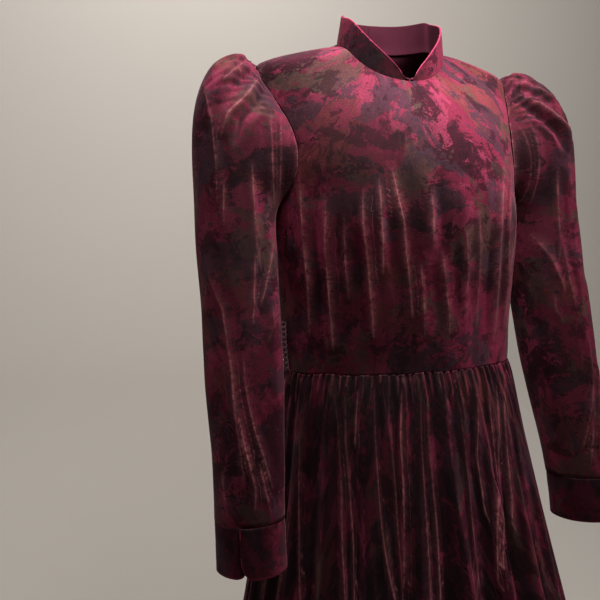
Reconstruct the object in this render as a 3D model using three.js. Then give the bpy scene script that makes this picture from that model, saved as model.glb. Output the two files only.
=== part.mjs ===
// A long-sleeved velvet maxi dress, hollow and held in the form it has when it is worn.
// It has a fitted bodice, a notched stand collar, gathered sleeve heads that puff above the shoulder,
// split cuffs, a belt loop on each side seam and a skirt gathered all round into the waist seam.
// Millimetres, +Z up, the front faces -Y and the wearer's left is +X. The origin is the middle of the
// neck, level with the high points of the two shoulder seams.
import * as THREE from 'three';

const { degToRad, lerp, clamp, smoothstep } = THREE.MathUtils;

// Cloth and seams
const WALL = 1.8; // velvet with its turned edges
const SEAM_GAP = 0.3; // air between two sewn pieces
const ON_WALL = WALL / 2 + SEAM_GAP; // where something that lies on a wall begins, from the wall's middle

// Heights on the figure
const WAIST_Z = -395;
const UNDERARM_Z = -200;
const SHOULDER_POINT_Z = -28;
const FRONT_NECK_Z = -57;
const BACK_NECK_Z = 12;
const HEM_Z = -1380;

// Body sections from the waist seam to the neck: half the width, the reach to front and back, and how
// far the middle of the section sits behind the origin
const SECTIONS = [
  { z: WAIST_Z, half: 146, front: 105, back: 93, shift: 0 },
  { z: -335, half: 148, front: 110, back: 97, shift: 0 },
  { z: -275, half: 151, front: 119, back: 103, shift: 0 },
  { z: -215, half: 155, front: 125, back: 109, shift: 0 },
  { z: -165, half: 160, front: 119, back: 112, shift: 0 },
  { z: -120, half: 166, front: 103, back: 108, shift: 2 },
  { z: -80, half: 169, front: 81, back: 99, shift: 5 },
  { z: -50, half: 169, front: 61, back: 88, shift: 7 },
  { z: SHOULDER_POINT_Z, half: 165, front: 49, back: 79, shift: 8 },
  { z: -12, half: 118, front: 40, back: 69, shift: 8 },
  { z: 0, half: 67, front: 30, back: 60, shift: 7 },
  { z: BACK_NECK_Z, half: 60, front: 28, back: 55, shift: 7 },
];

// How each panel is cut: which way it faces, the height of its neck and how many degrees its armhole
// is scooped in from the side
const FRONT_CUT = { facing: -1, neckZ: FRONT_NECK_Z, scoop: 32 };
const BACK_CUT = { facing: 1, neckZ: BACK_NECK_Z, scoop: 28 };
const NECK_SHARE = 0.4; // part of a panel's top that is neckline, the rest is shoulder seam
const SIDE_SHARE = 4 / 9; // part of a panel's edge that is side seam, the rest is armhole
const ARMHOLE_LOW = 0.5; // roundness of the armhole at the underarm
const ARMHOLE_HIGH = 0.8; // and at the shoulder
const FRONT_COLUMNS = 20; // each half
const BACK_COLUMNS = 15;
const BODICE_ROWS = 18;
const ROW_CROWDING = 1.45; // rows above the armhole's foot draw together upwards by this power

// Bust shaping, as the cut gives it: its place round the body, its height and its reach
const BUST = { turn: 40, z: -215, rise: 7, wide: 26, tall: 52 };

// The largest soft folds of the bodice: degrees round from the front, towards the wearer's left
const BODICE_FOLDS = [
  { turn: -64, top: -223, foot: -327, rise: 3.5, wide: 4.5 },
  { turn: -47, top: -203, foot: -367, rise: 4, wide: 4.5 },
  { turn: -27, top: -178, foot: -377, rise: 5, wide: 4.5 },
  { turn: -9, top: -138, foot: -367, rise: 4.5, wide: 5 },
  { turn: 10, top: -168, foot: -367, rise: 4, wide: 5 },
  { turn: 29, top: -213, foot: -362, rise: 3, wide: 4.5 },
  { turn: 46, top: -188, foot: -367, rise: 4, wide: 4.5 },
  { turn: 62, top: -208, foot: -352, rise: 3.5, wide: 4.5 },
  { turn: 118, top: -238, foot: -372, rise: 3, wide: 6 },
  { turn: 142, top: -228, foot: -377, rise: 3.5, wide: 6 },
  { turn: -118, top: -238, foot: -372, rise: 3, wide: 6 },
  { turn: -142, top: -228, foot: -377, rise: 3.5, wide: 6 },
];
const FOLD_FADE = 45; // a fold rises and dies over this height

// Stand collar
const COLLAR = { height: 34, corner: 24, notch: 9, inward: 0.15, forward: 0.2, seatUp: 1.4, seatIn: 0.8 };
const COLLAR_FRONT = NECK_SHARE * FRONT_COLUMNS; // its columns are the bodice's own
const COLLAR_BACK = NECK_SHARE * BACK_COLUMNS;
const COLLAR_ROWS = 3;

// Sleeve rings from the armhole to the hand. Each runs from an inner point, under the arm, to an outer
// one: the outer points trace the puff from above and the inner ones the underarm seam. y is the ring's
// middle, deep is half its depth from front to back and gather is the height of its gathers
const SLEEVE = [
  { ring: 0, outX: 166, outZ: -28, inX: 159, inZ: -200, y: 0, deep: 56, gather: 1.6 },
  { ring: 1, outX: 175, outZ: -22, inX: 159, inZ: -203, y: 0, deep: 58, gather: 3.4 },
  { ring: 2, outX: 186, outZ: -19, inX: 159, inZ: -206, y: -1, deep: 60, gather: 3 },
  { ring: 3, outX: 202, outZ: -22, inX: 159.2, inZ: -210, y: -2, deep: 62, gather: 2.2 },
  { ring: 4, outX: 220, outZ: -32, inX: 159.4, inZ: -215, y: -4, deep: 62.5, gather: 1.4 },
  { ring: 5, outX: 236, outZ: -50, inX: 159.6, inZ: -221, y: -6, deep: 62, gather: 0.7 },
  { ring: 6, outX: 246, outZ: -78, inX: 159.8, inZ: -229, y: -8, deep: 60, gather: 0 },
  { ring: 7, outX: 250, outZ: -118, inX: 160, inZ: -239, y: -10, deep: 58, gather: 0 },
  { ring: 8, outX: 251, outZ: -168, inX: 160, inZ: -252, y: -14, deep: 56, gather: 0 },
  { ring: 9, outX: 251, outZ: -222, inX: 160, inZ: -268, y: -19, deep: 54.5, gather: 0 },
  { ring: 10, outX: 250.5, outZ: -270, inX: 160.5, inZ: -290, y: -25, deep: 53, gather: 0 },
  { ring: 11, outX: 250, outZ: -315, inX: 162, inZ: -322, y: -32, deep: 51.5, gather: 0 },
  { ring: 12, outX: 250, outZ: -358, inX: 164, inZ: -360, y: -39, deep: 50, gather: 0 },
  { ring: 13, outX: 250, outZ: -402, inX: 167, inZ: -402, y: -47, deep: 48.5, gather: 0 },
  { ring: 14, outX: 251, outZ: -448, inX: 171, inZ: -448, y: -55, deep: 46, gather: 0 },
  { ring: 15, outX: 252, outZ: -495, inX: 175, inZ: -495, y: -64, deep: 43, gather: 0 },
  { ring: 16, outX: 253, outZ: -540, inX: 178, inZ: -540, y: -71, deep: 41, gather: 0 },
  { ring: 17, outX: 254, outZ: -592, inX: 179, inZ: -592, y: -77, deep: 41, gather: 0 },
];
const WRIST_RING = 16; // the sleeve ends here, and the cuff goes on to the last ring
const SETTLED_RING = 6; // from here on a ring no longer follows the armhole's own line
const HEAD_GATHERED = 80; // gathers lie within this many degrees of the top of the sleeve
const HEAD_FADE = 15; // and die out over this many to each side
const UNDERARM_CLEAR = 3.2; // the sleeve starts this far out at the underarm
const SHOULDER_CLEAR = 1.7; // and this far at the shoulder
const SLEEVE_COLUMNS = 30;
// Long soft folds of the arm: how many round the sleeve, how high, and how far they wind
const ARM_FOLDS = { count: 5, rise: 2.2, wind: 0.9, from: 7 };

// Cuff: a band that laps over itself, with rounded corners at the split. Its columns crowd towards them
const CUFF = { split: 116, under: 7, over: 5, lap: 2.6, lapTurn: 26, corner: 15, crowding: 0.6 };
const CUFF_COLUMNS = 26;
const CUFF_ROWS = 3;

// Belt loop: a narrow ruched strip beside each side seam, ending at the waist seam
const LOOP = { wide: 11, top: -335, foot: WAIST_Z + 3, y: -9, rib: 6, rise: 0.6, bow: 1.2, thick: 1.6 };

// Skirt sections by distance below the waist seam, and the height of its gathers, of the folds that
// each pair of gathers runs into, and of the long folds that each pair of those runs into
const SKIRT = [
  { down: 0, half: 146, front: 105, back: 93, gather: 1.7, fold: 0.8, drape: 0 },
  { down: 14, half: 149, front: 108.5, back: 96.5, gather: 2.4, fold: 2, drape: 0.5 },
  { down: 45, half: 156, front: 117, back: 105, gather: 1.2, fold: 3.4, drape: 1.5 },
  { down: 110, half: 166, front: 130, back: 121, gather: 0, fold: 4, drape: 4 },
  { down: 220, half: 180, front: 147, back: 143, gather: 0, fold: 3.2, drape: 8 },
  { down: 420, half: 224, front: 184, back: 184, gather: 0, fold: 2, drape: 13 },
  { down: 700, half: 286, front: 238, back: 242, gather: 0, fold: 1, drape: 18 },
  { down: WAIST_Z - HEM_Z, half: 342, front: 288, back: 294, gather: 0, fold: 0, drape: 21 },
];
const GATHERS = 84; // round the whole waist, two columns each
const UNEVEN = { slow: 0.22, quick: 0.15, turn: 0.7, sway: 0.8 }; // how the long folds differ round the hem
const SKIRT_LEVELS = [0, 14, 45, 110, 220, 400, 640, WAIST_Z - HEM_Z];
const SKIRT_DROP = 0.3; // the flaring edge starts this far lower
const SKIRT_GAP = 0.6; // air at the skirt's own side seams, where the edges wave

// Nape closure
const BUTTON = { radius: 5.5, height: 5, stem: 2.6, underside: 2.6, z: 27, x: 7 };
const NAPE_LOOP = { cord: 0.7, lift: 0.3, start: -7, sides: 6, steps: 20 };

// Height of a table's column at a place, on a smooth curve through its rows
function along(table, key, column, place) {
  const last = table.length - 1;
  const rising = table[last][key] > table[0][key];
  let high = 1;
  while (high < last && (rising ? table[high][key] < place : table[high][key] > place)) high += 1;
  const slope = (row) => {
    const before = table[Math.max(row - 1, 0)];
    const after = table[Math.min(row + 1, last)];
    return (after[column] - before[column]) / (after[key] - before[key]);
  };
  const a = table[high - 1];
  const b = table[high];
  const span = b[key] - a[key];
  const t = clamp((place - a[key]) / span, 0, 1);
  const s = 1 - t;
  const ends = a[column] * s * s * (1 + 2 * t) + b[column] * t * t * (3 - 2 * t);
  return ends + span * s * t * (slope(high - 1) * s - slope(high) * t);
}

const section = (column, z) => along(SECTIONS, 'z', column, z);

// Point of the body's plain surface, turn degrees round from the middle of the front or back
function bodyPoint(cut, turn, z) {
  const angle = degToRad(turn);
  const depth = section(cut.facing < 0 ? 'front' : 'back', z);
  const x = section('half', z) * Math.sin(angle);
  return new THREE.Vector3(x, section('shift', z) + cut.facing * depth * Math.cos(angle), z);
}

// Outward direction of the body's plain surface
function bodyNormal(cut, turn, z) {
  const step = 0.5;
  const round = bodyPoint(cut, turn + step, z).sub(bodyPoint(cut, turn - step, z));
  const up = bodyPoint(cut, turn, z + step).sub(bodyPoint(cut, turn, z - step));
  const normal = round.cross(up).normalize();
  return cut.facing < 0 ? normal : normal.negate();
}

// Places on a panel are a width unrolled from the middle and a height
const unrolled = (turn, z) => [(section('half', z) * turn) / 90, z];

// The neckline is a quarter of an oval from the middle, t = 0, to the shoulder seam, t = 1
function necklinePlace(cut, t) {
  const angle = (Math.PI * t) / 2;
  const z = cut.neckZ * Math.cos(angle);
  const x = section('half', 0) * Math.sin(angle);
  return unrolled(THREE.MathUtils.radToDeg(Math.asin(Math.min(x / section('half', z), 1))), z);
}

function armholePlace(cut, t) {
  const peakAt = ARMHOLE_LOW / (ARMHOLE_LOW + ARMHOLE_HIGH);
  const curve = (s) => s ** ARMHOLE_LOW * (1 - s) ** ARMHOLE_HIGH;
  const z = lerp(UNDERARM_Z, SHOULDER_POINT_Z, t);
  return unrolled(90 - (cut.scoop * curve(t)) / curve(peakAt), z);
}

// Place at share u of the way from the middle to the side, and share v up from the waist
function panelPlace(cut, u, v) {
  const waist = (s) => unrolled(90 * s, WAIST_Z);
  const top = (s) => {
    if (s <= NECK_SHARE) return necklinePlace(cut, s / NECK_SHARE);
    return unrolled(90, (SHOULDER_POINT_Z * (s - NECK_SHARE)) / (1 - NECK_SHARE));
  };
  const middle = (s) => [0, lerp(WAIST_Z, cut.neckZ, s)];
  const side = (s) => {
    if (s <= SIDE_SHARE) return unrolled(90, lerp(WAIST_Z, UNDERARM_Z, s / SIDE_SHARE));
    return armholePlace(cut, (s - SIDE_SHARE) / (1 - SIDE_SHARE));
  };
  return [0, 1].map((i) => {
    const across = lerp(waist(u)[i], top(u)[i], v) + lerp(middle(v)[i], side(v)[i], u);
    const corners = lerp(lerp(waist(0)[i], waist(1)[i], u), lerp(top(0)[i], top(1)[i], u), v);
    return across - corners;
  });
}

// Height of the folds and of the bust shaping at a place on the body
function bodiceRelief(around, z) {
  let rise = 0;
  for (const fold of BODICE_FOLDS) {
    const risen = smoothstep(z, fold.foot, fold.foot + FOLD_FADE);
    const fade = risen * (1 - smoothstep(z, fold.top - FOLD_FADE, fold.top));
    rise += fold.rise * fade * Math.exp(-(((around - fold.turn) / fold.wide) ** 2));
  }
  for (const side of [-1, 1]) {
    const away = ((around - side * BUST.turn) / BUST.wide) ** 2 + ((z - BUST.z) / BUST.tall) ** 2;
    rise += BUST.rise * Math.exp(-away);
  }
  return rise;
}

// Share up a panel of one of its rows; the rows crowd together towards the neck
function rowShare(row) {
  const sideRows = SIDE_SHARE * BODICE_ROWS;
  if (row <= sideRows) return row / BODICE_ROWS;
  const left = (BODICE_ROWS - row) / (BODICE_ROWS - sideRows);
  return 1 - (1 - SIDE_SHARE) * left ** ROW_CROWDING;
}

// A grid of points and outward directions over part of a panel, from share u0 to share u1
function panelNet(cut, u0, u1, columns) {
  const net = { points: [], normals: [] };
  for (let r = 0; r <= BODICE_ROWS; r += 1) {
    const points = [];
    const normals = [];
    for (let c = 0; c <= columns; c += 1) {
      const u = lerp(u0, u1, c / columns);
      const [width, z] = panelPlace(cut, Math.abs(u), rowShare(r));
      const turn = Math.sign(u) * Math.min((90 * width) / section('half', z), 90);
      const around = cut.facing < 0 ? turn : Math.sign(u || 1) * 180 - turn;
      const normal = bodyNormal(cut, turn, z);
      points.push(bodyPoint(cut, turn, z).addScaledVector(normal, bodiceRelief(around, z)));
      normals.push(normal);
    }
    net.points.push(points);
    net.normals.push(normals);
  }
  return net;
}

// Outward directions of any grid, from the points beside each one
function netNormals(points, closed) {
  const rows = points.length;
  const columns = points[0].length;
  return points.map((row, r) => row.map((_, c) => {
    const left = closed ? row[(c + columns - 1) % columns] : row[Math.max(c - 1, 0)];
    const right = closed ? row[(c + 1) % columns] : row[Math.min(c + 1, columns - 1)];
    const below = points[Math.max(r - 1, 0)][c];
    const above = points[Math.min(r + 1, rows - 1)][c];
    return right.clone().sub(left).cross(above.clone().sub(below)).normalize();
  }));
}

// Draws the open edges of a grid back by half a seam's gap
function drawnBack(points, closed, gap = SEAM_GAP) {
  const moved = points.map((row) => row.map((p) => p.clone()));
  const pull = (edge, inner) => edge.add(inner.clone().sub(edge).setLength(gap / 2));
  const last = points.length - 1;
  const end = points[0].length - 1;
  moved[0].forEach((p, c) => pull(p, points[1][c]));
  moved[last].forEach((p, c) => pull(p, points[last - 1][c]));
  if (closed) return moved;
  moved.forEach((row, r) => {
    pull(row[0], points[r][1]);
    pull(row[end], points[r][end - 1]);
  });
  return moved;
}

function signedVolume(position, index) {
  const corner = (i) => new THREE.Vector3().fromArray(position, index[i] * 3);
  let volume = 0;
  for (let i = 0; i < index.length; i += 3) {
    volume += corner(i).dot(corner(i + 1).cross(corner(i + 2))) / 6;
  }
  return volume;
}

// A closed wall of cloth about a grid of points: two skins and the rims that join them
function clothWall(points, normals, { closed = false, thick = WALL } = {}) {
  const rows = points.length;
  const columns = points[0].length;
  const position = [];
  for (const side of [0.5, -0.5]) {
    points.forEach((row, r) => row.forEach((p, c) => {
      position.push(...p.clone().addScaledVector(normals[r][c], side * thick).toArray());
    }));
  }
  const outer = (r, c) => r * columns + (c % columns);
  const inner = (r, c) => rows * columns + outer(r, c);
  const index = [];
  const quad = (a, b, c, d, turned = false) => {
    if (turned) index.push(a, b, d, b, c, d);
    else index.push(a, b, c, a, c, d);
  };
  const end = closed ? columns : columns - 1;
  const across = (r, c) => points[r][c].distanceTo(points[r + 1][(c + 1) % columns]);
  const other = (r, c) => points[r][(c + 1) % columns].distanceTo(points[r + 1][c]);
  for (let c = 0; c < end; c += 1) {
    for (let r = 0; r < rows - 1; r += 1) {
      const turned = other(r, c) < across(r, c);
      quad(outer(r, c), outer(r, c + 1), outer(r + 1, c + 1), outer(r + 1, c), turned);
      quad(inner(r, c), inner(r + 1, c), inner(r + 1, c + 1), inner(r, c + 1), turned);
    }
    quad(outer(0, c), inner(0, c), inner(0, c + 1), outer(0, c + 1));
    quad(outer(rows - 1, c), outer(rows - 1, c + 1), inner(rows - 1, c + 1), inner(rows - 1, c));
  }
  for (let r = 0; r < rows - 1 && !closed; r += 1) {
    quad(outer(r, 0), outer(r + 1, 0), inner(r + 1, 0), inner(r, 0));
    quad(outer(r + 1, end), outer(r, end), inner(r, end), inner(r + 1, end));
  }
  if (signedVolume(position, index) < 0) {
    for (let i = 0; i < index.length; i += 3) [index[i], index[i + 1]] = [index[i + 1], index[i]];
  }
  const geometry = new THREE.BufferGeometry();
  geometry.setAttribute('position', new THREE.Float32BufferAttribute(position, 3));
  geometry.setIndex(index);
  return geometry;
}

// The same solid on the wearer's other side
function mirrored(geometry) {
  const copy = geometry.clone().scale(-1, 1, 1);
  const index = Array.from(copy.index.array);
  for (let i = 0; i < index.length; i += 3) [index[i], index[i + 1]] = [index[i + 1], index[i]];
  return copy.setIndex(index);
}

function bodicePanel(cut, u0, u1, columns) {
  const net = panelNet(cut, u0, u1, columns);
  return clothWall(drawnBack(net.points, false), net.normals);
}

// Collar: its base runs along the neckline, column by column, from the front notch to the nape
function collarBase(column) {
  const front = column <= COLLAR_FRONT;
  const cut = front ? FRONT_CUT : BACK_CUT;
  const share = front ? column / COLLAR_FRONT : 1 - (column - COLLAR_FRONT) / COLLAR_BACK;
  const [width, z] = necklinePlace(cut, share);
  return bodyPoint(cut, (90 * width) / section('half', z), z);
}

function collarUp(base) {
  const inward = new THREE.Vector3(-base.x, -base.y, 0).setLength(COLLAR.inward);
  return inward.add(new THREE.Vector3(0, -COLLAR.forward, 1)).normalize();
}

function collarHeight(distance) {
  const short = 1 - Math.min(distance / COLLAR.corner, 1);
  return lerp(COLLAR.notch, COLLAR.height, Math.sqrt(1 - short * short));
}

function collarHalf() {
  const rows = Array.from({ length: COLLAR_ROWS + 1 }, () => []);
  let distance = 0;
  let before = collarBase(0);
  for (let c = 0; c <= COLLAR_FRONT + COLLAR_BACK; c += 1) {
    const base = collarBase(c);
    distance += base.distanceTo(before);
    before = base;
    const up = collarUp(base);
    const inward = new THREE.Vector3(-base.x, -base.y, 0).setLength(COLLAR.seatIn);
    const foot = base.clone().addScaledVector(up, COLLAR.seatUp).add(inward);
    rows.forEach((row, r) => {
      row.push(foot.clone().addScaledVector(up, (collarHeight(distance) * r) / COLLAR_ROWS));
    });
  }
  const normals = netNormals(rows, false);
  normals.forEach((row) => [row[0], row.at(-1)].forEach((normal) => normal.setX(0).normalize()));
  rows.forEach((row) => [row[0], row.at(-1)].forEach((end) => end.setX(SEAM_GAP / 2)));
  return clothWall(rows, normals);
}

// Armhole of the bodice, turn degrees round from the underarm by way of the front
function armholePoint(turn) {
  const front = turn <= 180;
  const cut = front ? FRONT_CUT : BACK_CUT;
  const t = (1 - Math.cos(degToRad(turn))) / 2;
  const [width, z] = armholePlace(cut, t);
  return bodyPoint(cut, (90 * width) / section('half', z), z);
}

// Point of a plain sleeve ring, turn degrees round from its inner point by way of the front
function sleevePoint(ring, turn, swell = 0) {
  const at = (column) => along(SLEEVE, 'ring', column, ring);
  const angle = degToRad(turn);
  const half = new THREE.Vector3((at('outX') - at('inX')) / 2, 0, (at('outZ') - at('inZ')) / 2);
  const middle = new THREE.Vector3((at('outX') + at('inX')) / 2, at('y'), (at('outZ') + at('inZ')) / 2);
  const reach = (half.length() + swell) / half.length();
  middle.addScaledVector(half, -reach * Math.cos(angle));
  return middle.add(new THREE.Vector3(0, -(at('deep') + swell) * Math.sin(angle), 0));
}

// Sleeve ring: it leaves the armhole on the armhole's own line and settles into an oval
function sleeveRing(ring) {
  const hold = 1 - smoothstep(ring, 0, SETTLED_RING);
  const share = clamp((ring - ARM_FOLDS.from) / (WRIST_RING - ARM_FOLDS.from), 0, 1);
  return Array.from({ length: SLEEVE_COLUMNS }, (_, c) => {
    const turn = (360 * c) / SLEEVE_COLUMNS;
    const top = 1 - smoothstep(Math.abs(turn - 180), HEAD_GATHERED - HEAD_FADE, HEAD_GATHERED + HEAD_FADE);
    const gather = (c % 2 ? -1 : 1) * along(SLEEVE, 'ring', 'gather', ring) * top;
    const wave = Math.cos(ARM_FOLDS.count * (degToRad(turn) + ARM_FOLDS.wind * share));
    const soft = ARM_FOLDS.rise * Math.sin(Math.PI * share) * wave;
    const clear = lerp(UNDERARM_CLEAR, SHOULDER_CLEAR, (1 - Math.cos(degToRad(turn))) / 2);
    const start = armholePoint(turn).add(new THREE.Vector3(clear, 0, 0));
    return sleevePoint(ring, turn, gather + soft).addScaledVector(start.sub(sleevePoint(0, turn)), hold);
  });
}

function sleeve() {
  const rings = Array.from({ length: WRIST_RING + 1 }, (_, ring) => sleeveRing(ring));
  return clothWall(drawnBack(rings, true), netNormals(rings, true), { closed: true });
}

// How far the cuff's lower edge is lifted, to a rounded corner near each end of the band
function cuffLift(distance) {
  const short = CUFF.corner - Math.min(distance, CUFF.corner);
  return CUFF.corner - Math.sqrt(CUFF.corner ** 2 - short ** 2);
}

function cuff() {
  const last = SLEEVE.at(-1);
  const length = SLEEVE[WRIST_RING].inZ - last.inZ;
  const radius = (last.deep + (last.outX - last.inX) / 2) / 2;
  const from = CUFF.split - CUFF.under;
  const to = CUFF.split + 360 + CUFF.over;
  const rows = Array.from({ length: CUFF_ROWS + 1 }, () => []);
  for (let c = 0; c <= CUFF_COLUMNS; c += 1) {
    const spread = (1 - Math.cos((Math.PI * c) / CUFF_COLUMNS)) / 2;
    const turn = lerp(from, to, lerp(c / CUFF_COLUMNS, spread, CUFF.crowding));
    const lap = CUFF.lap * smoothstep(turn, to - CUFF.lapTurn, to - CUFF.lapTurn / 2);
    const fromEnd = radius * degToRad(Math.min(turn - from, to - turn));
    const share = 1 - cuffLift(fromEnd) / length;
    rows.forEach((row, r) => row.push(sleevePoint(WRIST_RING + (share * r) / CUFF_ROWS, turn, lap)));
  }
  return clothWall(drawnBack(rows, false), netNormals(rows, false));
}

// Belt loop: the bodice's own points beside the side seam, moved out, with ruched ribs
function beltLoop() {
  const rows = [];
  const count = Math.round((LOOP.top - LOOP.foot) / (LOOP.rib / 2));
  for (let r = 0; r <= count; r += 1) {
    const t = r / count;
    const z = lerp(LOOP.foot, LOOP.top, t);
    const rib = r % 2 ? LOOP.rise : -LOOP.rise;
    const off = ON_WALL + LOOP.thick / 2 + LOOP.rise + LOOP.bow * Math.sin(Math.PI * t) + rib;
    rows.push([-1, 0, 1].map((edge) => {
      const y = LOOP.y + (edge * LOOP.wide) / 2;
      const turn = THREE.MathUtils.radToDeg(Math.acos(-y / section('front', z)));
      const around = bodiceRelief(turn, z);
      return bodyPoint(FRONT_CUT, turn, z).addScaledVector(bodyNormal(FRONT_CUT, turn, z), off + around);
    }));
  }
  return clothWall(rows, netNormals(rows, false), { thick: LOOP.thick });
}

// Skirt ring: gathers at the waist that run together into fewer, deeper folds towards the hem
function skirtRing(down) {
  const at = (column) => along(SKIRT, 'down', column, down);
  const columns = 2 * GATHERS;
  return Array.from({ length: columns }, (_, c) => {
    const angle = (2 * Math.PI * c) / columns;
    const uneven = 1 + UNEVEN.slow * Math.sin(3 * angle + UNEVEN.turn) + UNEVEN.quick * Math.sin(7 * angle);
    const gather = at('gather') * Math.cos(Math.PI * c);
    const fold = at('fold') * Math.cos((Math.PI * c) / 2);
    const drape = at('drape') * Math.cos((Math.PI * c) / 4 + UNEVEN.sway * Math.sin(2 * angle)) * uneven;
    const out = gather + fold + drape;
    const depth = at(Math.cos(angle) > 0 ? 'front' : 'back');
    const x = (at('half') + out) * Math.sin(angle);
    return new THREE.Vector3(x, -(depth + out) * Math.cos(angle), WAIST_Z - SKIRT_DROP - down);
  });
}

// Front or back of the skirt, cut from the ring between the two side seams
function skirtPanels() {
  const rings = SKIRT_LEVELS.map(skirtRing);
  const normals = netNormals(rings, true);
  const quarter = GATHERS / 2;
  const cutOut = (grid, first) => grid.map((row) => {
    return Array.from({ length: 2 * quarter + 1 }, (_, c) => row[(first + c + row.length) % row.length]);
  });
  return [-quarter, quarter].map((first) => {
    return clothWall(drawnBack(cutOut(rings, first), false, SKIRT_GAP), cutOut(normals, first));
  });
}

// Place on the outside of the collar's nape end, x to the side of the back opening
function napePlace(x, z, off) {
  const base = collarBase(COLLAR_FRONT + COLLAR_BACK);
  const up = collarUp(base);
  const round = (x * x) / (2 * section('half', 0)) + COLLAR.seatIn;
  return base.addScaledVector(up, (z - base.z) / up.z).add(new THREE.Vector3(x, off - round, 0));
}

// Covered button on the left half of the collar: a stem and a domed cap
function napeButton() {
  const { radius, height, stem, underside } = BUTTON;
  const dome = [[radius, underside + 0.5], [radius * 0.93, height * 0.8], [radius * 0.55, height * 0.97]];
  const profile = [[0, 0], [stem, 0], [stem, underside], [radius * 0.85, underside], ...dome, [0, height]];
  const geometry = new THREE.LatheGeometry(profile.map(([x, y]) => new THREE.Vector2(x, y)), 14);
  const place = napePlace(BUTTON.x, BUTTON.z, ON_WALL + SEAM_GAP);
  geometry.rotateX(Math.atan2(COLLAR.forward + COLLAR.inward, 1));
  return geometry.translate(place.x, place.y, place.z);
}

// Loop of cord from the right half of the collar round the button's stem
function napeLoop() {
  const { cord, lift, start, sides, steps } = NAPE_LOOP;
  const round = BUTTON.stem + SEAM_GAP + cord;
  const bend = Math.SQRT1_2;
  const turned = [[BUTTON.x + round * bend, bend], [BUTTON.x + round, 0]];
  const route = [[start, 1], [BUTTON.x - round, 1], [BUTTON.x, 1], ...turned];
  const back = route.slice(0, -1).reverse().map(([x, side]) => [x, -side]);
  const points = [...route, ...back].map(([x, side]) => {
    return napePlace(x, BUTTON.z + side * round, ON_WALL + cord + lift);
  });
  const outline = Array.from({ length: sides }, (_, i) => {
    const angle = (2 * Math.PI * i) / sides;
    return new THREE.Vector2(cord * Math.cos(angle), cord * Math.sin(angle));
  });
  const options = { steps, extrudePath: new THREE.CatmullRomCurve3(points), curveSegments: 1 };
  return new THREE.ExtrudeGeometry(new THREE.Shape(outline), options);
}

const velvet = (color) => new THREE.MeshStandardMaterial({ color, roughness: 0.85, metalness: 0 });
const WINE = 0x5a1230;
const PLUM = 0x3c1a2c;
const DARK_ROSE = 0x6e1a3c;

const dress = new THREE.Group();
function piece(name, geometry, color) {
  const mesh = new THREE.Mesh(geometry, velvet(color));
  mesh.name = name;
  dress.add(mesh);
}

function pair(name, geometry, color) {
  piece(`${name}_left`, geometry, color);
  piece(`${name}_right`, mirrored(geometry), color);
}

piece('bodice_front', bodicePanel(FRONT_CUT, -1, 1, 2 * FRONT_COLUMNS), DARK_ROSE);
pair('bodice_back', bodicePanel(BACK_CUT, 0, 1, BACK_COLUMNS), DARK_ROSE);
pair('collar', collarHalf(), PLUM);
pair('sleeve', sleeve(), WINE);
pair('cuff', cuff(), PLUM);
pair('belt_loop', beltLoop(), PLUM);
const [skirtFront, skirtBack] = skirtPanels();
piece('skirt_front', skirtFront, WINE);
piece('skirt_back', skirtBack, WINE);
piece('nape_button', napeButton(), PLUM);
piece('nape_loop', napeLoop(), PLUM);

export default dress;
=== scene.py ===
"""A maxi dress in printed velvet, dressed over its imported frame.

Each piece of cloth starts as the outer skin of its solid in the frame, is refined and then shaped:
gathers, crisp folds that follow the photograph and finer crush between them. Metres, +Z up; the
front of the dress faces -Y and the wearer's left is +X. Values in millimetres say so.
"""

import logging
import math
from dataclasses import dataclass
from enum import Enum

import bmesh
import bpy
import numpy as np
from mathutils import Matrix, Vector, noise
from mathutils.bvhtree import BVHTree
from mathutils.kdtree import KDTree

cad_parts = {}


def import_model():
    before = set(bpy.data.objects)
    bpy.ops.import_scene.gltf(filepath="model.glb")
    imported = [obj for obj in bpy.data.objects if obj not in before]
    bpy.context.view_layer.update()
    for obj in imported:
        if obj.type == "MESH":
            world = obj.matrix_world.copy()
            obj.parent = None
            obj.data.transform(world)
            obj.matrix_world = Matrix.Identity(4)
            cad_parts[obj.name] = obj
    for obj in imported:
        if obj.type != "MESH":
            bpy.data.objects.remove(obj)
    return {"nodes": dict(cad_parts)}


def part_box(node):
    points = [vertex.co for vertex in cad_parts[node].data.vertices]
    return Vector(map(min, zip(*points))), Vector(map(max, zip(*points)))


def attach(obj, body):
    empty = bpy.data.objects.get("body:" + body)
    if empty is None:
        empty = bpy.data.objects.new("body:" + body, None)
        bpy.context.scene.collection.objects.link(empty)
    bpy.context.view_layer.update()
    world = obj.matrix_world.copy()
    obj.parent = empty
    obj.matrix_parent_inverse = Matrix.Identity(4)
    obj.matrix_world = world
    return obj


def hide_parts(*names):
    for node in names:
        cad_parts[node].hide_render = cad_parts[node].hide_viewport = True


log = logging.getLogger("dress")

MM = 0.001
WALL = 1.8 * MM  # thickness of every wall of cloth in the frame
WELD = 0.002 * MM  # vertices of a solid closer than this are one
RIM_TOLERANCE = 0.02 * MM
FADE_STEEP = 3.2  # a crest has its full height after a third of its length
CREST_STEEP = 2.2  # how much narrower the crest is than the whole fold
TROUGH_AT, TROUGH_WIDE = 1.15, 0.55  # the trough beside it, in half widths of the fold
TROUGH_DEEP = 0.38  # its depth as a share of the crest's height
FACING_LEAST, FACING_BAND = 0.05, 0.2  # a face turned away from the camera takes no fold from the photo
FAR = 0.5  # more than any distance between a point and its nearest crest
LINE_REACH = 11 * MM  # a worn line, with its painted highlight and painted shadow, changes the pile as far as this on both sides
SEAM_TUCK = 0.8 * MM  # each side of the waist seam reaches this far over its gap
SEAM_BAND = 3 * MM  # height of the band beside the waist seam that is tucked so
SEAM_SWAY = 1.6 * MM  # how far the waist seam wanders up and down
SWAY_BAND = 20 * MM  # height of the cloth beside it that goes with it
LINE_CLEAR = 2.5 * MM  # a later line stops this far from an earlier one
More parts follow.
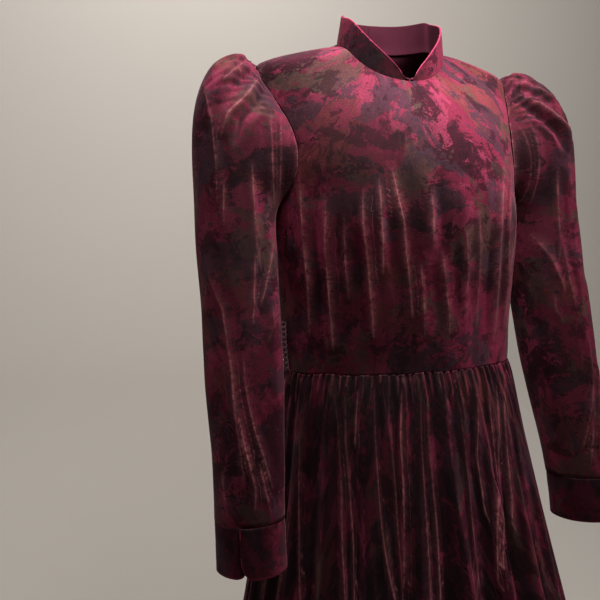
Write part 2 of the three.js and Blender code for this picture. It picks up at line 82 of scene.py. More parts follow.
TRIM_WIDE = 0.9 * MM  # half width of the turned edge of the collar and the cuffs
LINE_RISE = 3.0 * MM  # height of a crest whose line is at its full strength
CREST_BEND = 12 * MM  # turns a bend in waves of a metre into a mark from -1 to 1


class Slot(Enum):
    """Names of the two kinds of velvet."""

    PRINT = "print_velvet"
    PLAIN = "plain_velvet"


class Side(Enum):
    """The wearer's two sides, and the sign of X on each."""

    LEFT = 1
    RIGHT = -1

    @property
    def word(self) -> str:
        """The side's name as the frame's nodes have it."""
        return self.name.lower()


@dataclass(frozen=True)
class Photo:
    """Where the photograph was taken from, as a camera in the frame.

    Attributes:
        place: the lens, in millimetres.
        yaw: degrees the view turns from +Y towards +X.
        pitch: degrees it looks up.
        roll: degrees it leans.
        focal: focal length in pixels of the picture.
        side: width and height of the picture in pixels.
    """

    place: tuple[float, float, float] = (-406.4, -834.6, -290.0)
    yaw: float = 18.6
    pitch: float = -1.3
    roll: float = -2.0
    focal: float = 729.2
    side: int = 600

    def axes(self) -> tuple[Vector, Vector, Vector]:
        """Gives the directions of the picture's right, its top and the view.

        Returns:
            Three unit vectors in the frame.
        """
        yaw, pitch, roll = (math.radians(a) for a in (self.yaw, self.pitch, self.roll))
        ahead = Vector((math.sin(yaw) * math.cos(pitch), math.cos(yaw) * math.cos(pitch), math.sin(pitch)))
        level = Vector((math.cos(yaw), -math.sin(yaw), 0))
        up = level.cross(ahead)
        right = level * math.cos(roll) + up * math.sin(roll)
        return right, right.cross(ahead), ahead

    def ray(self, pixel: tuple[float, float]) -> tuple[Vector, Vector]:
        """Gives the line of sight through a pixel.

        Args:
            pixel: its place across and down the picture.

        Returns:
            The lens and the direction, in metres in the frame.
        """
        right, up, ahead = self.axes()
        across, down = ((p - self.side / 2) / self.focal for p in pixel)
        return Vector(self.place) * MM, (ahead + right * across - up * down).normalized()

    def project(self, points: np.ndarray) -> tuple[np.ndarray, np.ndarray]:
        """Finds where points of the frame show in the picture.

        Args:
            points: their places in metres.

        Returns:
            Their pixels, and their depths in metres.
        """
        right, up, ahead = (np.array(axis) for axis in self.axes())
        away = points - np.array(self.place) * MM
        depth = np.maximum(away @ ahead, 0.01)
        pixels = np.stack([away @ right, -(away @ up)], 1) * (self.focal / depth)[:, None] + self.side / 2
        return pixels, depth

    def camera(self) -> bpy.types.Object:
        """Makes the camera and sets it as the scene's own.

        Returns:
            The camera's object.
        """
        lens = bpy.data.cameras.new("camera")
        lens.sensor_width = 36
        lens.lens = self.focal / self.side * lens.sensor_width
        lens.clip_start = 0.01
        body = bpy.data.objects.new("camera", lens)
        right, up, ahead = self.axes()
        turn = Matrix((right, up, -ahead)).transposed()
        body.matrix_world = Matrix.Translation(Vector(self.place) * MM) @ turn.to_4x4()
        bpy.context.scene.collection.objects.link(body)
        bpy.context.scene.camera = body
        return body


class Value:
    """A socket of a material that can be reckoned with as a number."""

    def __init__(self, tree: "Tree", socket: bpy.types.NodeSocket) -> None:
        """Wraps a socket of the tree."""
        self.tree = tree
        self.socket = socket

    def _with(self, operation: str, *parts: "Value | float") -> "Value":
        """Adds one Math node on these parts."""
        return self.tree.add("ShaderNodeMath", {"operation": operation}, *parts)

    def __add__(self, other: "Value | float") -> "Value":
        """Adds."""
        return self._with("ADD", self, other)

    __radd__ = __add__

    def __sub__(self, other: "Value | float") -> "Value":
        """Takes away."""
        return self._with("SUBTRACT", self, other)

    def __rsub__(self, other: float) -> "Value":
        """Takes away from a number."""
        return self._with("SUBTRACT", other, self)

    def __mul__(self, other: "Value | float") -> "Value":
        """Multiplies."""
        return self._with("MULTIPLY", self, other)

    __rmul__ = __mul__

    def __pow__(self, other: float) -> "Value":
        """Raises to a power."""
        return self._with("POWER", self, other)


class Tree:
    """The nodes of one material."""

    def __init__(self, name: str) -> None:
        """Starts an empty material.

        Args:
            name: the material's name.
        """
        self.material = bpy.data.materials.new(name)
        self.material.use_nodes = True
        self.nodes = self.material.node_tree.nodes
        self.links = self.material.node_tree.links
        self.nodes.clear()

    def add(self, kind: str, settings: dict[str, object], *values: object, output: int | str = 0,
            **named: object) -> Value:
        """Adds a node.

        Args:
            kind: the node's type.
            settings: its own settings, which are set first; a ramp's stops are (place, colour) pairs.
            values: values or links of its sockets, in order; None leaves one as it is.
            output: which output to give back.
            named: values or links of sockets by name, with _ for a space.

        Returns:
            The chosen output.
        """
        node = self.nodes.new(kind)
        for key, value in settings.items():
            if key == "stops":
                self._stops(node.color_ramp, value)
            else:
                setattr(node, key, value)
        for place, value in [*enumerate(values), *((k.replace("_", " "), v) for k, v in named.items())]:
            if isinstance(value, Value):
                self.links.new(value.socket, node.inputs[place])
            elif value is not None:
                node.inputs[place].default_value = value
        return Value(self, node.outputs[output] if node.outputs else None)

    @staticmethod
    def _stops(ramp: bpy.types.ColorRamp, stops: list[tuple[float, tuple[float, ...]]]) -> None:
        """Sets a ramp's stops.

        Args:
            ramp: the ramp.
            stops: place and colour of each.
        """
        while len(ramp.elements) < len(stops):
            ramp.elements.new(1.0)
        for element, (place, colour) in zip(ramp.elements, stops):
            element.position = place
            element.color = (*colour, 1.0)

    def step(self, value: Value, low: float, high: float) -> Value:
        """Rises softly from 0 to 1 as a value goes from low to high."""
        settings = {"interpolation_type": "SMOOTHSTEP"}
        return self.add("ShaderNodeMapRange", settings, value, low, high, 0.0, 1.0)

    def grain(self, place: Value, scale: float, detail: float = 3.0, distortion: float = 0.0) -> Value:
        """Noise from 0 to 1 with that many waves in a metre."""
        return self.add("ShaderNodeTexNoise", {}, place, None, scale, detail, 0.55, 2.0, None, None,
                        distortion)

    def mark(self, name: str) -> Value:
        """Reads a number that the mesh carries on each of its points."""
        return self.add("ShaderNodeAttribute", {"attribute_name": name}, output="Fac")

    def blend(self, share: Value | float, under: object, over: object, kind: str = "MIX") -> Value:
        """Mixes two colours.

        Args:
            share: how much of the second colour shows, from 0 to 1.
            under: the first colour, a tuple or a link.
            over: the second.
            kind: how they mix, such as MIX or MULTIPLY.

        Returns:
            The mixed colour.
        """
        settings = {"data_type": "RGBA", "blend_type": kind, "clamp_factor": True}
        node = self.add("ShaderNodeMix", settings, share, output=2).socket.node
        for slot, value in ((6, under), (7, over)):
            if isinstance(value, Value):
                self.links.new(value.socket, node.inputs[slot])
            else:
                node.inputs[slot].default_value = (*value, 1.0)
        return Value(self, node.outputs[2])

    def finish(self, shader: Value) -> bpy.types.Material:
        """Sends a shader to the surface and gives the material."""
        self.add("ShaderNodeOutputMaterial", {}, shader)
        return self.material


Colour = tuple[float, float, float]


@dataclass(frozen=True)
class Fibres:
    """The noises that the print and the pile of the velvet are drawn with.

    Attributes:
        spot: the place on the printed length.
        pull: the same place, swirled as the dye ran.
        brush: how the pile is brushed, in waves of some millimetres.
        fleck: fine spots.
        streak: fine streaks along the length.
    """

    spot: Value
    pull: Value
    brush: Value
    fleck: Value
    streak: Value


@dataclass(frozen=True)
class VelvetPrint:
    """Velvet with a mottled print in wine, magenta, rust, olive and slate, and a crushed, shiny nap.

    Attributes:
        name: the material's name.
        shift: where on the printed length this piece is cut, in metres.
        painted_shade: share of its brightness that this piece keeps, a painted shade over the whole piece.
        dusk: how much further the darkest blotches spread on this piece, partly print and partly a painted
            shade that darkens it.
        bloom: how plainly the painted highlight glows in the pile beside a worn line.
        ground, deep, pink, rust, olive, slate: the colours of the print; deep also paints the shade in the
            hollows and in the lee of the worn lines.
        nap_and_highlight: colour of the worn pile along a crest, which is also its painted highlight.
        trim: colour of the turned edge of the collar and the cuffs.
        upright: share of its colour that the pile keeps where it is seen end on.
        specular, sheen, sheen_rough, sheen_tint: the gloss of the pile.
        relief: depth of the crushed pile in metres.
    """

    name: str
    shift: tuple[float, float, float]
    painted_shade: float = 1.0
    dusk: float = 0.0
    bloom: float = 0.38
    ground: Colour = (0.205, 0.019, 0.050)
    deep: Colour = (0.021, 0.006, 0.011)
    pink: Colour = (0.300, 0.037, 0.084)
    rust: Colour = (0.170, 0.042, 0.038)
    olive: Colour = (0.090, 0.060, 0.046)
    slate: Colour = (0.056, 0.028, 0.043)
    nap_and_highlight: Colour = (0.44, 0.135, 0.150)
    trim: Colour = (0.34, 0.030, 0.080)
    upright: float = 0.155
    specular: float = 0.06
    sheen: float = 0.10
    sheen_rough: float = 0.30
    sheen_tint: tuple[float, float, float, float] = (0.85, 0.40, 0.48, 1.0)
    relief: float = 1.2 * MM

    def _fibres(self, tree: Tree) -> Fibres:
        """Draws the noises of this piece.

        Args:
            tree: the material.

        Returns:
            The noises.
        """
        cloth = tree.add("ShaderNodeUVMap", {"uv_map": "cloth"})
        spot = tree.add("ShaderNodeMapping", {}, cloth, self.shift)
        swirl = tree.add("ShaderNodeTexNoise", {}, spot, None, 30.0, 3.0, 0.5, output="Color")
        reach = (0.022, 0.030, 0.0)
        pull = tree.add("ShaderNodeVectorMath", {"operation": "MULTIPLY_ADD"}, swirl, reach, spot)
        drawn = tree.add("ShaderNodeMapping", {}, spot, None, None, (1.0, 0.12, 1.0))
        return Fibres(spot, pull, tree.grain(pull, 150.0, 4.0, 0.4), tree.grain(spot, 430.0, 2.0),
                      tree.grain(drawn, 240.0, 3.0))

    def _blot(self, tree: Tree, place: Value, edge: Value, shift: float, scale: float,
              level: float) -> Value:
        """Draws the blotches of one colour, with jagged and brushed edges.

        Args:
            tree: the material.
            place: where on the cloth.
            edge: noise that frays the edges.
            shift: picks one pattern.
            scale: blotches in a metre.
            level: how rare they are, from 0 to 1.

        Returns:
            Their share of the surface, from 0 to 1.
        """
        moved = tree.add("ShaderNodeVectorMath", {"operation": "ADD"}, place, (shift, shift * 0.7, 0.0))
        cloud = tree.add("ShaderNodeTexNoise", {}, moved, None, scale, 5.0, 0.60, 2.1, None, None, 0.35)
        return tree.step(cloud + edge, level, level + 0.028)

    def _dyes(self, tree: Tree, fibres: Fibres) -> Value:
        """Prints the blotches, one colour over another.

        Args:
            tree: the material.
            fibres: its noises.

        Returns:
            The colour of the print.
        """
        edge = (fibres.brush - 0.5) * 0.20 + (fibres.fleck - 0.5) * 0.14
        colour = self.ground
        # A piece's dusk spreads the deep blotches further: partly print, partly painted shade.
        for over, shift, scale, level, share in (
            (self.deep, 0.0, 10.0, 0.50 - self.dusk, 0.85),
            (self.pink, 3.1, 14.0, 0.50, 0.85),
            (self.rust, 7.7, 11.0, 0.56, 0.70),
            (self.olive, 5.3, 15.0, 0.56, 0.75),
            (self.slate, 1.9, 17.0, 0.54, 0.85),
            (self.deep, 9.4, 30.0, 0.55 - self.dusk, 0.70),
        ):
            blot = self._blot(tree, fibres.pull, edge, shift, scale, level)
            colour = tree.blend(blot * share, colour, over)
        colour = tree.blend(tree.step(fibres.fleck, 0.56, 0.72) * 0.25, colour, self.pink)
        return tree.blend(tree.step(fibres.streak, 0.50, 0.72) * 0.25, colour, self.deep)

    def _pile(self, tree: Tree, fibres: Fibres, colour: Value) -> Value:
        """Shades the pile: dark where it is seen end on, and full of colour where it is seen from the side.
        It also carries a painted shade over the whole piece and in the hollows, and worn pile with a painted
        highlight on the crests.

        Args:
            tree: the material.
            fibres: its noises.
            colour: the print.

        Returns:
            The shaded colour.
        """
        # Painted shade: the whole piece keeps only this share of its brightness.
        colour = tree.blend(1.0, colour, (self.painted_shade, self.painted_shade, self.painted_shade), "MULTIPLY")
        tuft = tree.grain(fibres.spot, 700.0, 3.0)
        colour = tree.blend(tree.step(tuft, 0.40, 0.62) * 0.45, colour, self.deep)
        colour = tree.blend(tree.step(tuft, 0.60, 0.74) * 0.35, colour, self.pink)
        end_on = (self.upright, self.upright * 0.80, self.upright * 0.86)
        shade = tree.blend(1.0, colour, end_on, "MULTIPLY")
        tilt = tree.add("ShaderNodeLayerWeight", {}, 0.5, output="Facing")
        stood = 1.0 - tree.step(tilt + (fibres.brush - 0.5) * 0.25, 0.04, 0.58)
        colour = tree.blend(stood, colour, shade)
        crest = tree.mark("crest")
        # Painted shade: the hollows, where the cloth bends inwards, are darkened with the deep colour.
        colour = tree.blend(tree.step(crest * -1.0, 0.05, 0.9) * 0.7, colour, self.deep)
        # Worn pile and a painted highlight: the crests are lightened with the nap colour.
        return tree.blend(tree.step(crest, 0.15, 1.0) * fibres.brush * 0.22, colour, self.nap_and_highlight)

    def _lines(self, tree: Tree, fibres: Fibres, colour: Value) -> Value:
        """Draws the worn lines with painted light: a bright line on the crest that is worn pile and a
        painted highlight, a painted glow beside it and a painted shadow in its lee.

        Args:
            tree: the material.
            fibres: its noises.
            colour: the shaded print.

        Returns:
            The colour with its lines.
        """
        # This mark carries worn pile together with painted light: the line's highlight, its glow and its
        # shadow.
        worn = tree.mark("worn")
        wander = tree.mark("aside") + (fibres.streak - 0.5) * 1.2
        squared = wander * wander
        line = (squared * 1.3 + 1.0) ** -1.7
        glow = (squared * 0.045 + 1.0) ** -2.0
        # Painted shadow: the lee beside each worn line is darkened with the deep colour.
        lee = (wander - 3.6) * (wander - 3.6)
        colour = tree.blend(worn * 0.85 * (lee * 0.10 + 1.0) ** -2.0, colour, self.deep)
        spots = tree.step(fibres.fleck + fibres.brush, 0.70, 1.25)
        # Painted highlight: a soft glow in the nap colour beside each worn line.
        colour = tree.blend(worn * glow * spots * self.bloom, colour, self.nap_and_highlight)
        rubbed = tree.step(fibres.brush + fibres.streak * 0.4, 0.36, 0.88)
        # The line itself: worn pile with a painted highlight.
        return tree.blend(worn * line * rubbed * 0.75, colour, self.nap_and_highlight)

    def make(self) -> bpy.types.Material:
        """Builds the material.

        Returns:
            The material.
        """
        tree = Tree(self.name)
        fibres = self._fibres(tree)
        colour = self._pile(tree, fibres, self._dyes(tree, fibres))
        colour = tree.blend(tree.mark("trim"), self._lines(tree, fibres, colour), self.trim)
        crush = fibres.brush + fibres.fleck * 0.35 + fibres.streak * 0.5
        bump = tree.add("ShaderNodeBump", {}, 0.35, self.relief, 1.0, crush)
        rough = 0.62 + fibres.brush * 0.3
        shader = tree.add("ShaderNodeBsdfPrincipled", {}, Base_Color=colour, Roughness=rough, Normal=bump,
                          Specular_IOR_Level=self.specular, Sheen_Weight=self.sheen,
                          Sheen_Roughness=self.sheen_rough, Sheen_Tint=self.sheen_tint)
        return tree.finish(shader)


@dataclass(frozen=True)
class VelvetPlain:
    """Velvet of one dark colour, for the small trims.

    Attributes:
        name: the material's name.
        colour: the colour of the pile.
        sheen: how strongly it shines where it is seen from the side.
    """

    name: str
    colour: Colour = (0.030, 0.006, 0.014)
    sheen: float = 0.5

    def make(self) -> bpy.types.Material:
        """Builds the material.

        Returns:
            The material.
        """
        tree = Tree(self.name)
        place = tree.add("ShaderNodeTexCoord", {}, output="Object")
        tuft = tree.grain(place, 900.0, 3.0)
        shade = tree.grain(place, 60.0, 2.0)
        pale = tuple(min(c * 2.6 + 0.01, 1.0) for c in self.colour)
        colour = tree.blend(tree.step(tuft * 0.6 + shade * 0.4, 0.42, 0.62), self.colour, pale)
        bump = tree.add("ShaderNodeBump", {}, 0.4, 0.8 * MM, 1.0, tuft)
        shader = tree.add("ShaderNodeBsdfPrincipled", {}, Base_Color=colour, Roughness=0.85, Normal=bump,
                          Specular_IOR_Level=0.2, Sheen_Weight=self.sheen, Sheen_Roughness=0.4,
                          Sheen_Tint=(0.85, 0.5, 0.56, 1.0))
        return tree.finish(shader)


@dataclass(frozen=True)
class Backing:
    """The knitted wrong side of the velvet, seen inside the neck, the cuffs and the hem.

    Attributes:
        name: the material's name.
        colour: the colour of the yarn.
    """

    name: str = "velvet_backing"
    colour: Colour = (0.050, 0.008, 0.018)

    def make(self) -> bpy.types.Material:
        """Builds the material.

        Returns:
            The material.
        """
        tree = Tree(self.name)
        cloth = tree.add("ShaderNodeUVMap", {"uv_map": "cloth"})
        ribs = tree.add("ShaderNodeTexWave", {"bands_direction": "X"}, cloth, 320.0, 1.5, 1.0, output="Fac")
        shade = tree.grain(cloth, 40.0, 3.0)
        pale = tuple(c * 1.8 for c in self.colour)
        colour = tree.blend(ribs * 0.3 + shade * 0.5, self.colour, pale)
        bump = tree.add("ShaderNodeBump", {}, 0.3, 0.5 * MM, 1.0, ribs)
        shader = tree.add("ShaderNodeBsdfPrincipled", {}, Base_Color=colour, Roughness=0.9, Normal=bump,
                          Specular_IOR_Level=0.15)
        return tree.finish(shader)


@dataclass(frozen=True)
class Matt:
    """A plain matt colour for the floor and the wall, clear from behind so that it hides no view.

    Attributes:
        name: the material's name.
        colour: its colour.
    """

    name: str
    colour: Colour

    def make(self) -> bpy.types.Material:
        """Builds the material.

        Returns:
            The material.
        """
        tree = Tree(self.name)
        place = tree.add("ShaderNodeTexCoord", {}, output="Object")
        pale = tuple(c * 1.04 for c in self.colour)
        colour = tree.blend(tree.grain(place, 3.0), self.colour, pale)
        shown = 1.0 - tree.add("ShaderNodeNewGeometry", {}, output="Backfacing")
        shader = tree.add("ShaderNodeBsdfPrincipled", {}, Base_Color=colour, Roughness=0.9, Alpha=shown)
        return tree.finish(shader)


@dataclass(frozen=True)
class Crease:
    """One crisp fold, drawn over the photograph.

    Attributes:
        path: pixels of the photograph that its crest runs through.
        rise: height of the crest in millimetres; a valley has a height below zero.
        wide: half its width in millimetres.
    """

    path: tuple[tuple[float, float], ...]
    rise: float
    wide: float


@dataclass(frozen=True)
class Fold:
    """One soft fold on a side that the photograph doesn't show.

    Attributes:
        turn, top: where it begins, in degrees round the piece and millimetres of height.
        foot_turn, foot: where it ends.
        rise, wide: its height and half its width in millimetres.
    """

    turn: float
    top: float
    foot_turn: float
    foot: float
    rise: float
    wide: float


@dataclass(frozen=True)
class Trace:
    """Where a fold's crest runs, as measured from every point of a sheet.

    Attributes:
        gap: distance from the crest in metres.
        share: how far along the crest the nearest place is, from 0 to 1.
        side: 1 or -1, for the side of the crest that the point is on.
        seen: how much of the crest the point takes, from 0 to 1.
    """

    gap: np.ndarray
    share: np.ndarray
    side: np.ndarray
    seen: np.ndarray


class Cloth:
    """A sheet of cloth that is shaped by moving the vertices of its mesh."""

    def __init__(self, name: str, node: bpy.types.Object, levels: int) -> None:
        """Starts from the outer skin of a solid.

        Args:
            name: the new piece's name.
            node: the frame's solid.
            levels: how many times its faces are halved.
        """
        rough = bpy.data.objects.new(name, self._outer_skin(node))
        bpy.context.scene.collection.objects.link(rough)
        finer = rough.modifiers.new("finer", "SUBSURF")
        finer.levels = finer.render_levels = levels
        finer.boundary_smooth = "PRESERVE_CORNERS"
        graph = bpy.context.evaluated_depsgraph_get()
        mesh = bpy.data.meshes.new_from_object(rough.evaluated_get(graph))
        rough.modifiers.clear()
        old = rough.data
        rough.data = mesh
        bpy.data.meshes.remove(old)
        mesh.name = name
        self.object = rough
        self.points = self._read("co")
        self.rest = self.points.copy()
        self.edges = np.empty(len(mesh.edges) * 2, np.int64)
        mesh.edges.foreach_get("vertices", self.edges)
        self.edges = self.edges.reshape(-1, 2)
        self.out = self._read("normal")
        self.aside = np.full(len(self.rest), FAR)
        # Strength of each worn line, drawn as worn pile with a painted highlight, glow and shadow.
        self.worn = np.zeros(len(self.rest))
        self.trim = np.zeros(len(self.rest))
        self.tree = BVHTree.FromPolygons([v.co for v in mesh.vertices], [p.vertices for p in mesh.polygons])

    @staticmethod
    def _outer_skin(node: bpy.types.Object) -> bpy.types.Mesh:
        """Takes the outer skin of a wall of cloth as a mesh of quads.

        Args:
            node: a closed wall of the frame.

        Returns:
            The new mesh.
        """
        shell = bmesh.new()
        shell.from_mesh(node.data)
        bmesh.ops.remove_doubles(shell, verts=shell.verts, dist=WELD)
        rim = [f for f in shell.faces if any(abs(e.calc_length() - WALL) < RIM_TOLERANCE for e in f.edges)]
        bmesh.ops.delete(shell, geom=rim, context="FACES")
        skins: list[list[bmesh.types.BMFace]] = []
        left = set(shell.faces)
        while left:
            skin = [left.pop()]
            for face in skin:
                near = {f for e in face.edges for f in e.link_faces} & left
                left -= near
                skin.extend(near)
            skins.append(skin)
        skins.sort(key=lambda skin: sum(f.calc_area() for f in skin))
        inner = [f for skin in skins[:-1] for f in skin]
        bmesh.ops.delete(shell, geom=inner, context="FACES")
        bmesh.ops.join_triangles(shell, faces=shell.faces, angle_face_threshold=math.pi,
                                 angle_shape_threshold=math.pi)
        log.info("%s: %d skins, %d faces", node.name, len(skins), len(shell.faces))
        mesh = bpy.data.meshes.new(node.name + "_skin")
        shell.to_mesh(mesh)
        shell.free()
        return mesh

    def _read(self, key: str) -> np.ndarray:
        """Reads a vector of every vertex.

        Args:
            key: the vector's name in the mesh.

        Returns:
            One row a vertex.
        """
        flat = np.empty(len(self.object.data.vertices) * 3, np.float32)
        self.object.data.vertices.foreach_get(key, flat)
        return flat.reshape(-1, 3).astype(float)

    def settle(self) -> None:
        """Writes the points back and works out the outward directions again."""
        mesh = self.object.data
        mesh.vertices.foreach_set("co", self.points.astype(np.float32).ravel())
        mesh.update()
        self.out = self._read("normal")

    def lift(self, height: np.ndarray) -> None:
        """Moves every point outwards by its own height in metres."""
        self.points += self.out * height[:, None]

    def ease(self, rounds: int, share: np.ndarray) -> None:
        """Smooths the sheet without moving the lines drawn on it.

        Args:
            rounds: how many times.
            share: how much of it each point takes, from 0 to 1.
        """
        for _ in range(rounds):
            self.points += (0.5 * share)[:, None] * (self._around()[0] - self.points)

    def near(self, fold: Fold) -> Trace:
        """Measures every point against the crest of a fold that the photograph doesn't show.

        Args:
            fold: the fold; one that misses this sheet leaves no trace.

        Returns:
            The measured crest.
        """
        path = self.column([(fold.turn, fold.top * MM), (fold.foot_turn, fold.foot * MM)])
        if len(path) < 2:
            nowhere = np.zeros(len(self.rest))
            return Trace(nowhere + FAR, nowhere, nowhere + 1, nowhere)
        gap, share, side = self._spans(path, self.rest, self.out)
        return Trace(gap, share, side, np.ones(len(gap)))

    def seen(self, photo: Photo, pixels: tuple[tuple[float, float], ...], mirrored: bool = False) -> Trace:
        """Measures every point against a path in the photograph, on the face that the photograph shows.

        Args:
            photo: the photograph's camera.
            pixels: the path.
            mirrored: lays it on the wearer's other side.

        Returns:
            The measured path.
        """
        flip = np.array([-1.0 if mirrored else 1.0, 1.0, 1.0])
        spots, depth = photo.project(self.rest * flip)
        path = np.array([(x, y, 0.0) for x, y in pixels])
        flat = np.column_stack([spots, np.zeros(len(spots))])
        gap, share, side = self._spans(path, flat, np.array([[0.0, 0.0, 1.0]]))
        away = self.rest * flip - np.array(photo.place) * MM
        away /= np.linalg.norm(away, axis=1)[:, None]
        facing = np.clip((-(away * self.out * flip).sum(1) - FACING_LEAST) / FACING_BAND, 0, 1)
        gap = np.where(facing > 0, gap * depth / photo.focal, FAR)
        return Trace(gap, share, side, facing)

    @staticmethod
    def _spans(path: np.ndarray, spots: np.ndarray, out: np.ndarray) -> tuple[np.ndarray, ...]:
        """Measures points against the spans of a path.

        Args:
            path: points along it.
            spots: the points to measure.
            out: the direction outwards at each.

        Returns:
            Distance, share of the way along and side of each point.
        """
        best = np.full(len(spots), np.inf)
        share = np.zeros(len(spots))
        side = np.ones(len(spots))
        steps = np.linalg.norm(np.diff(path, axis=0), axis=1)
        reached = np.concatenate([[0], np.cumsum(steps)]) / max(steps.sum(), 1e-9)
        for i, (a, b) in enumerate(zip(path[:-1], path[1:])):
            line = b - a
            t = np.clip(((spots - a) @ line) / max(line @ line, 1e-12), 0, 1)
            gap = np.linalg.norm(spots - a - t[:, None] * line, axis=1)
            closer = gap < best
            best[closer] = gap[closer]
            share[closer] = reached[i] + (reached[i + 1] - reached[i]) * t[closer]
            turned = (np.cross(line, spots - a) * out).sum(1)
            side[closer] = np.where(turned[closer] > 0, 1, -1)
        return best, share, side

    def draw(self, gap: np.ndarray, side: np.ndarray | float, strength: np.ndarray) -> None:
        """Marks a worn line with its painted highlight and painted shadow, wherever it is the nearest one.

        Args:
            gap: each point's distance from it in metres.
            side: 1 or -1, for the side that the point is on.
            strength: how plainly the line shows, from 0 to 1.
        """
        closer = (gap < np.abs(self.aside)) & (np.abs(self.aside) > LINE_CLEAR)
        reach = np.clip((LINE_REACH - gap) / (0.4 * LINE_REACH), 0, 1)
        self.aside = np.where(closer, gap * side, self.aside)
        self.worn = np.where(closer, strength * reach, self.worn)

    def hem(self, up: float, lowest: float = -9.0) -> np.ndarray:
        """Measures how far every point lies from the free edge of the sheet.

        Args:
            up: 1 leaves out the edge that the sheet rises from, -1 the one that it hangs from, 0 neither.
            lowest: no edge below this height counts.

        Returns:
            The distances in metres.
        """
        border, inward = self.border()
        return self._from(border[(inward[:, 2] * up < 0.5) & (self.rest[border, 2] > lowest)])

    def border(self) -> tuple[np.ndarray, np.ndarray]:
        """Finds the free edges of the sheet.

        Returns:
            Their vertices, and from each the direction into the sheet.
        """
        mesh = self.object.data
        used = np.empty(len(mesh.loops), np.int64)
        mesh.loops.foreach_get("edge_index", used)
        border = np.unique(self.edges[np.bincount(used, minlength=len(self.edges)) == 1])
        inward = self._around()[0][border] - self.points[border]
        return border, inward / np.maximum(np.linalg.norm(inward, axis=1), 1e-9)[:, None]

    def _from(self, chosen: np.ndarray) -> np.ndarray:
        """Measures how far every point lies from the nearest of some vertices.

        Args:
            chosen: the vertices.

        Returns:
            The distances in metres.
        """
        edge = KDTree(len(chosen))
        for i, vertex in enumerate(chosen):
            edge.insert(self.rest[vertex], i)
        edge.balance()
        return np.array([edge.find(p)[2] for p in self.rest])

    def foot(self) -> np.ndarray:
        """Measures how far every point lies from the edge that the sheet rises from, in metres."""
        border, inward = self.border()
        return self._from(border[inward[:, 2] > 0.5])

    def _around(self) -> tuple[np.ndarray, np.ndarray]:
        """Looks at the points next to every point.

        Returns:
            Their middle, and how many there are.
        """
        total = np.zeros_like(self.points)
        count = np.zeros(len(self.points))
        for a, b in (self.edges.T, self.edges.T[::-1]):
            np.add.at(total, a, self.points[b])
            np.add.at(count, a, 1)
        count = np.maximum(count, 1)
        return total / count[:, None], count

    def column(self, places: list[tuple[float, float]]) -> np.ndarray:
        """Lays a path on the cloth by casting outwards from the upright axis.

        Args:
            places: degrees round from the front and height in metres of points along it.

        Returns:
            Points on the cloth, in metres; those whose ray misses it are left out.
        """
        found = []
        for (turn0, z0), (turn1, z1) in zip(places[:-1], places[1:]):
            for t in np.linspace(0, 1, 6):
                turn = math.radians(turn0 + (turn1 - turn0) * t)
                start = Vector((0, 0, z0 + (z1 - z0) * t))
                hit = self.tree.ray_cast(start, Vector((math.sin(turn), -math.cos(turn), 0)))[0]
                if hit is not None:
                    found.append(hit)
        return np.array(found)

    def crisp(self, trace: Trace, rise: float, wide: float, tail: float = 0.0,
              shine: float = 1.0) -> np.ndarray:
        """Works out a crisp fold: a narrow crest between two shallow troughs, with a worn line on it that is
        partly wear and partly painted highlight and shadow.

        Args:
            trace: where its crest runs.
            rise: height of the crest in metres, below zero for a valley, which has no worn line.
            wide: half its width in metres.
            tail: share of its height that is left at the path's end.
            shine: how plainly its worn line and painted highlight show.

        Returns:
            The height at every point of the cloth.
        """
        across = trace.gap / wide
        ends = np.minimum(trace.share, (1 - trace.share) * (1 - tail) + tail) * FADE_STEEP
        fade = np.clip(ends, 0, 1) ** 0.6 * trace.seen
        phase = rise * 9000 + wide * 4000
        broken = 0.64 + 0.36 * np.sin(trace.share * 11 + phase) * np.sin(trace.share * 6.1 - phase)
        if rise > 0:
            self.draw(trace.gap, trace.side, fade * broken * min(rise / LINE_RISE, 1) * shine)
        crest = 1 / (1 + (CREST_STEEP * across) ** 2) ** 1.5
        trough = np.exp(-(((across - TROUGH_AT) / TROUGH_WIDE) ** 2))
        return rise * fade * (crest - TROUGH_DEEP * trough)

    def sway(self, away: np.ndarray) -> np.ndarray:
        """Works out how a seam wanders up and down, alike on both its pieces, from the distance to it."""
        return SEAM_SWAY * self.noise(38, 77.0) * np.exp(-((away / SWAY_BAND) ** 2))

    def noise(self, scale: float, seed: float,
              stretch: tuple[float, float, float] = (1, 1, 1)) -> np.ndarray:
        """Gives smooth noise of about -1 to 1 at every point.

        Args:
            scale: waves in a metre.
            seed: picks one pattern.
            stretch: how much longer the waves are along each axis.

        Returns:
            One value a point.
        """
        offset = Vector((seed, seed * 1.7, -seed))
        spots = self.rest * scale / np.array(stretch)
        return np.array([noise.noise(Vector(p) + offset) for p in spots])

    def crests(self) -> np.ndarray:
        """Works out how sharply the cloth bends outwards.

        Returns:
            The bend at every point, from -1 to 1.
        """
        middle, count = self._around()
        length = np.zeros(len(self.points))
        for a, b in (self.edges.T, self.edges.T[::-1]):
            np.add.at(length, a, ((self.points[a] - self.points[b]) ** 2).sum(1))
        bend = ((self.points - middle) * self.out).sum(1) / np.maximum(length / count, 1e-12)
        for _ in range(2):
            spread = bend.copy()
            for a, b in (self.edges.T, self.edges.T[::-1]):
                np.add.at(spread, a, bend[b])
            bend = spread / (count + 1)
        return np.clip(bend * CREST_BEND, -1, 1)

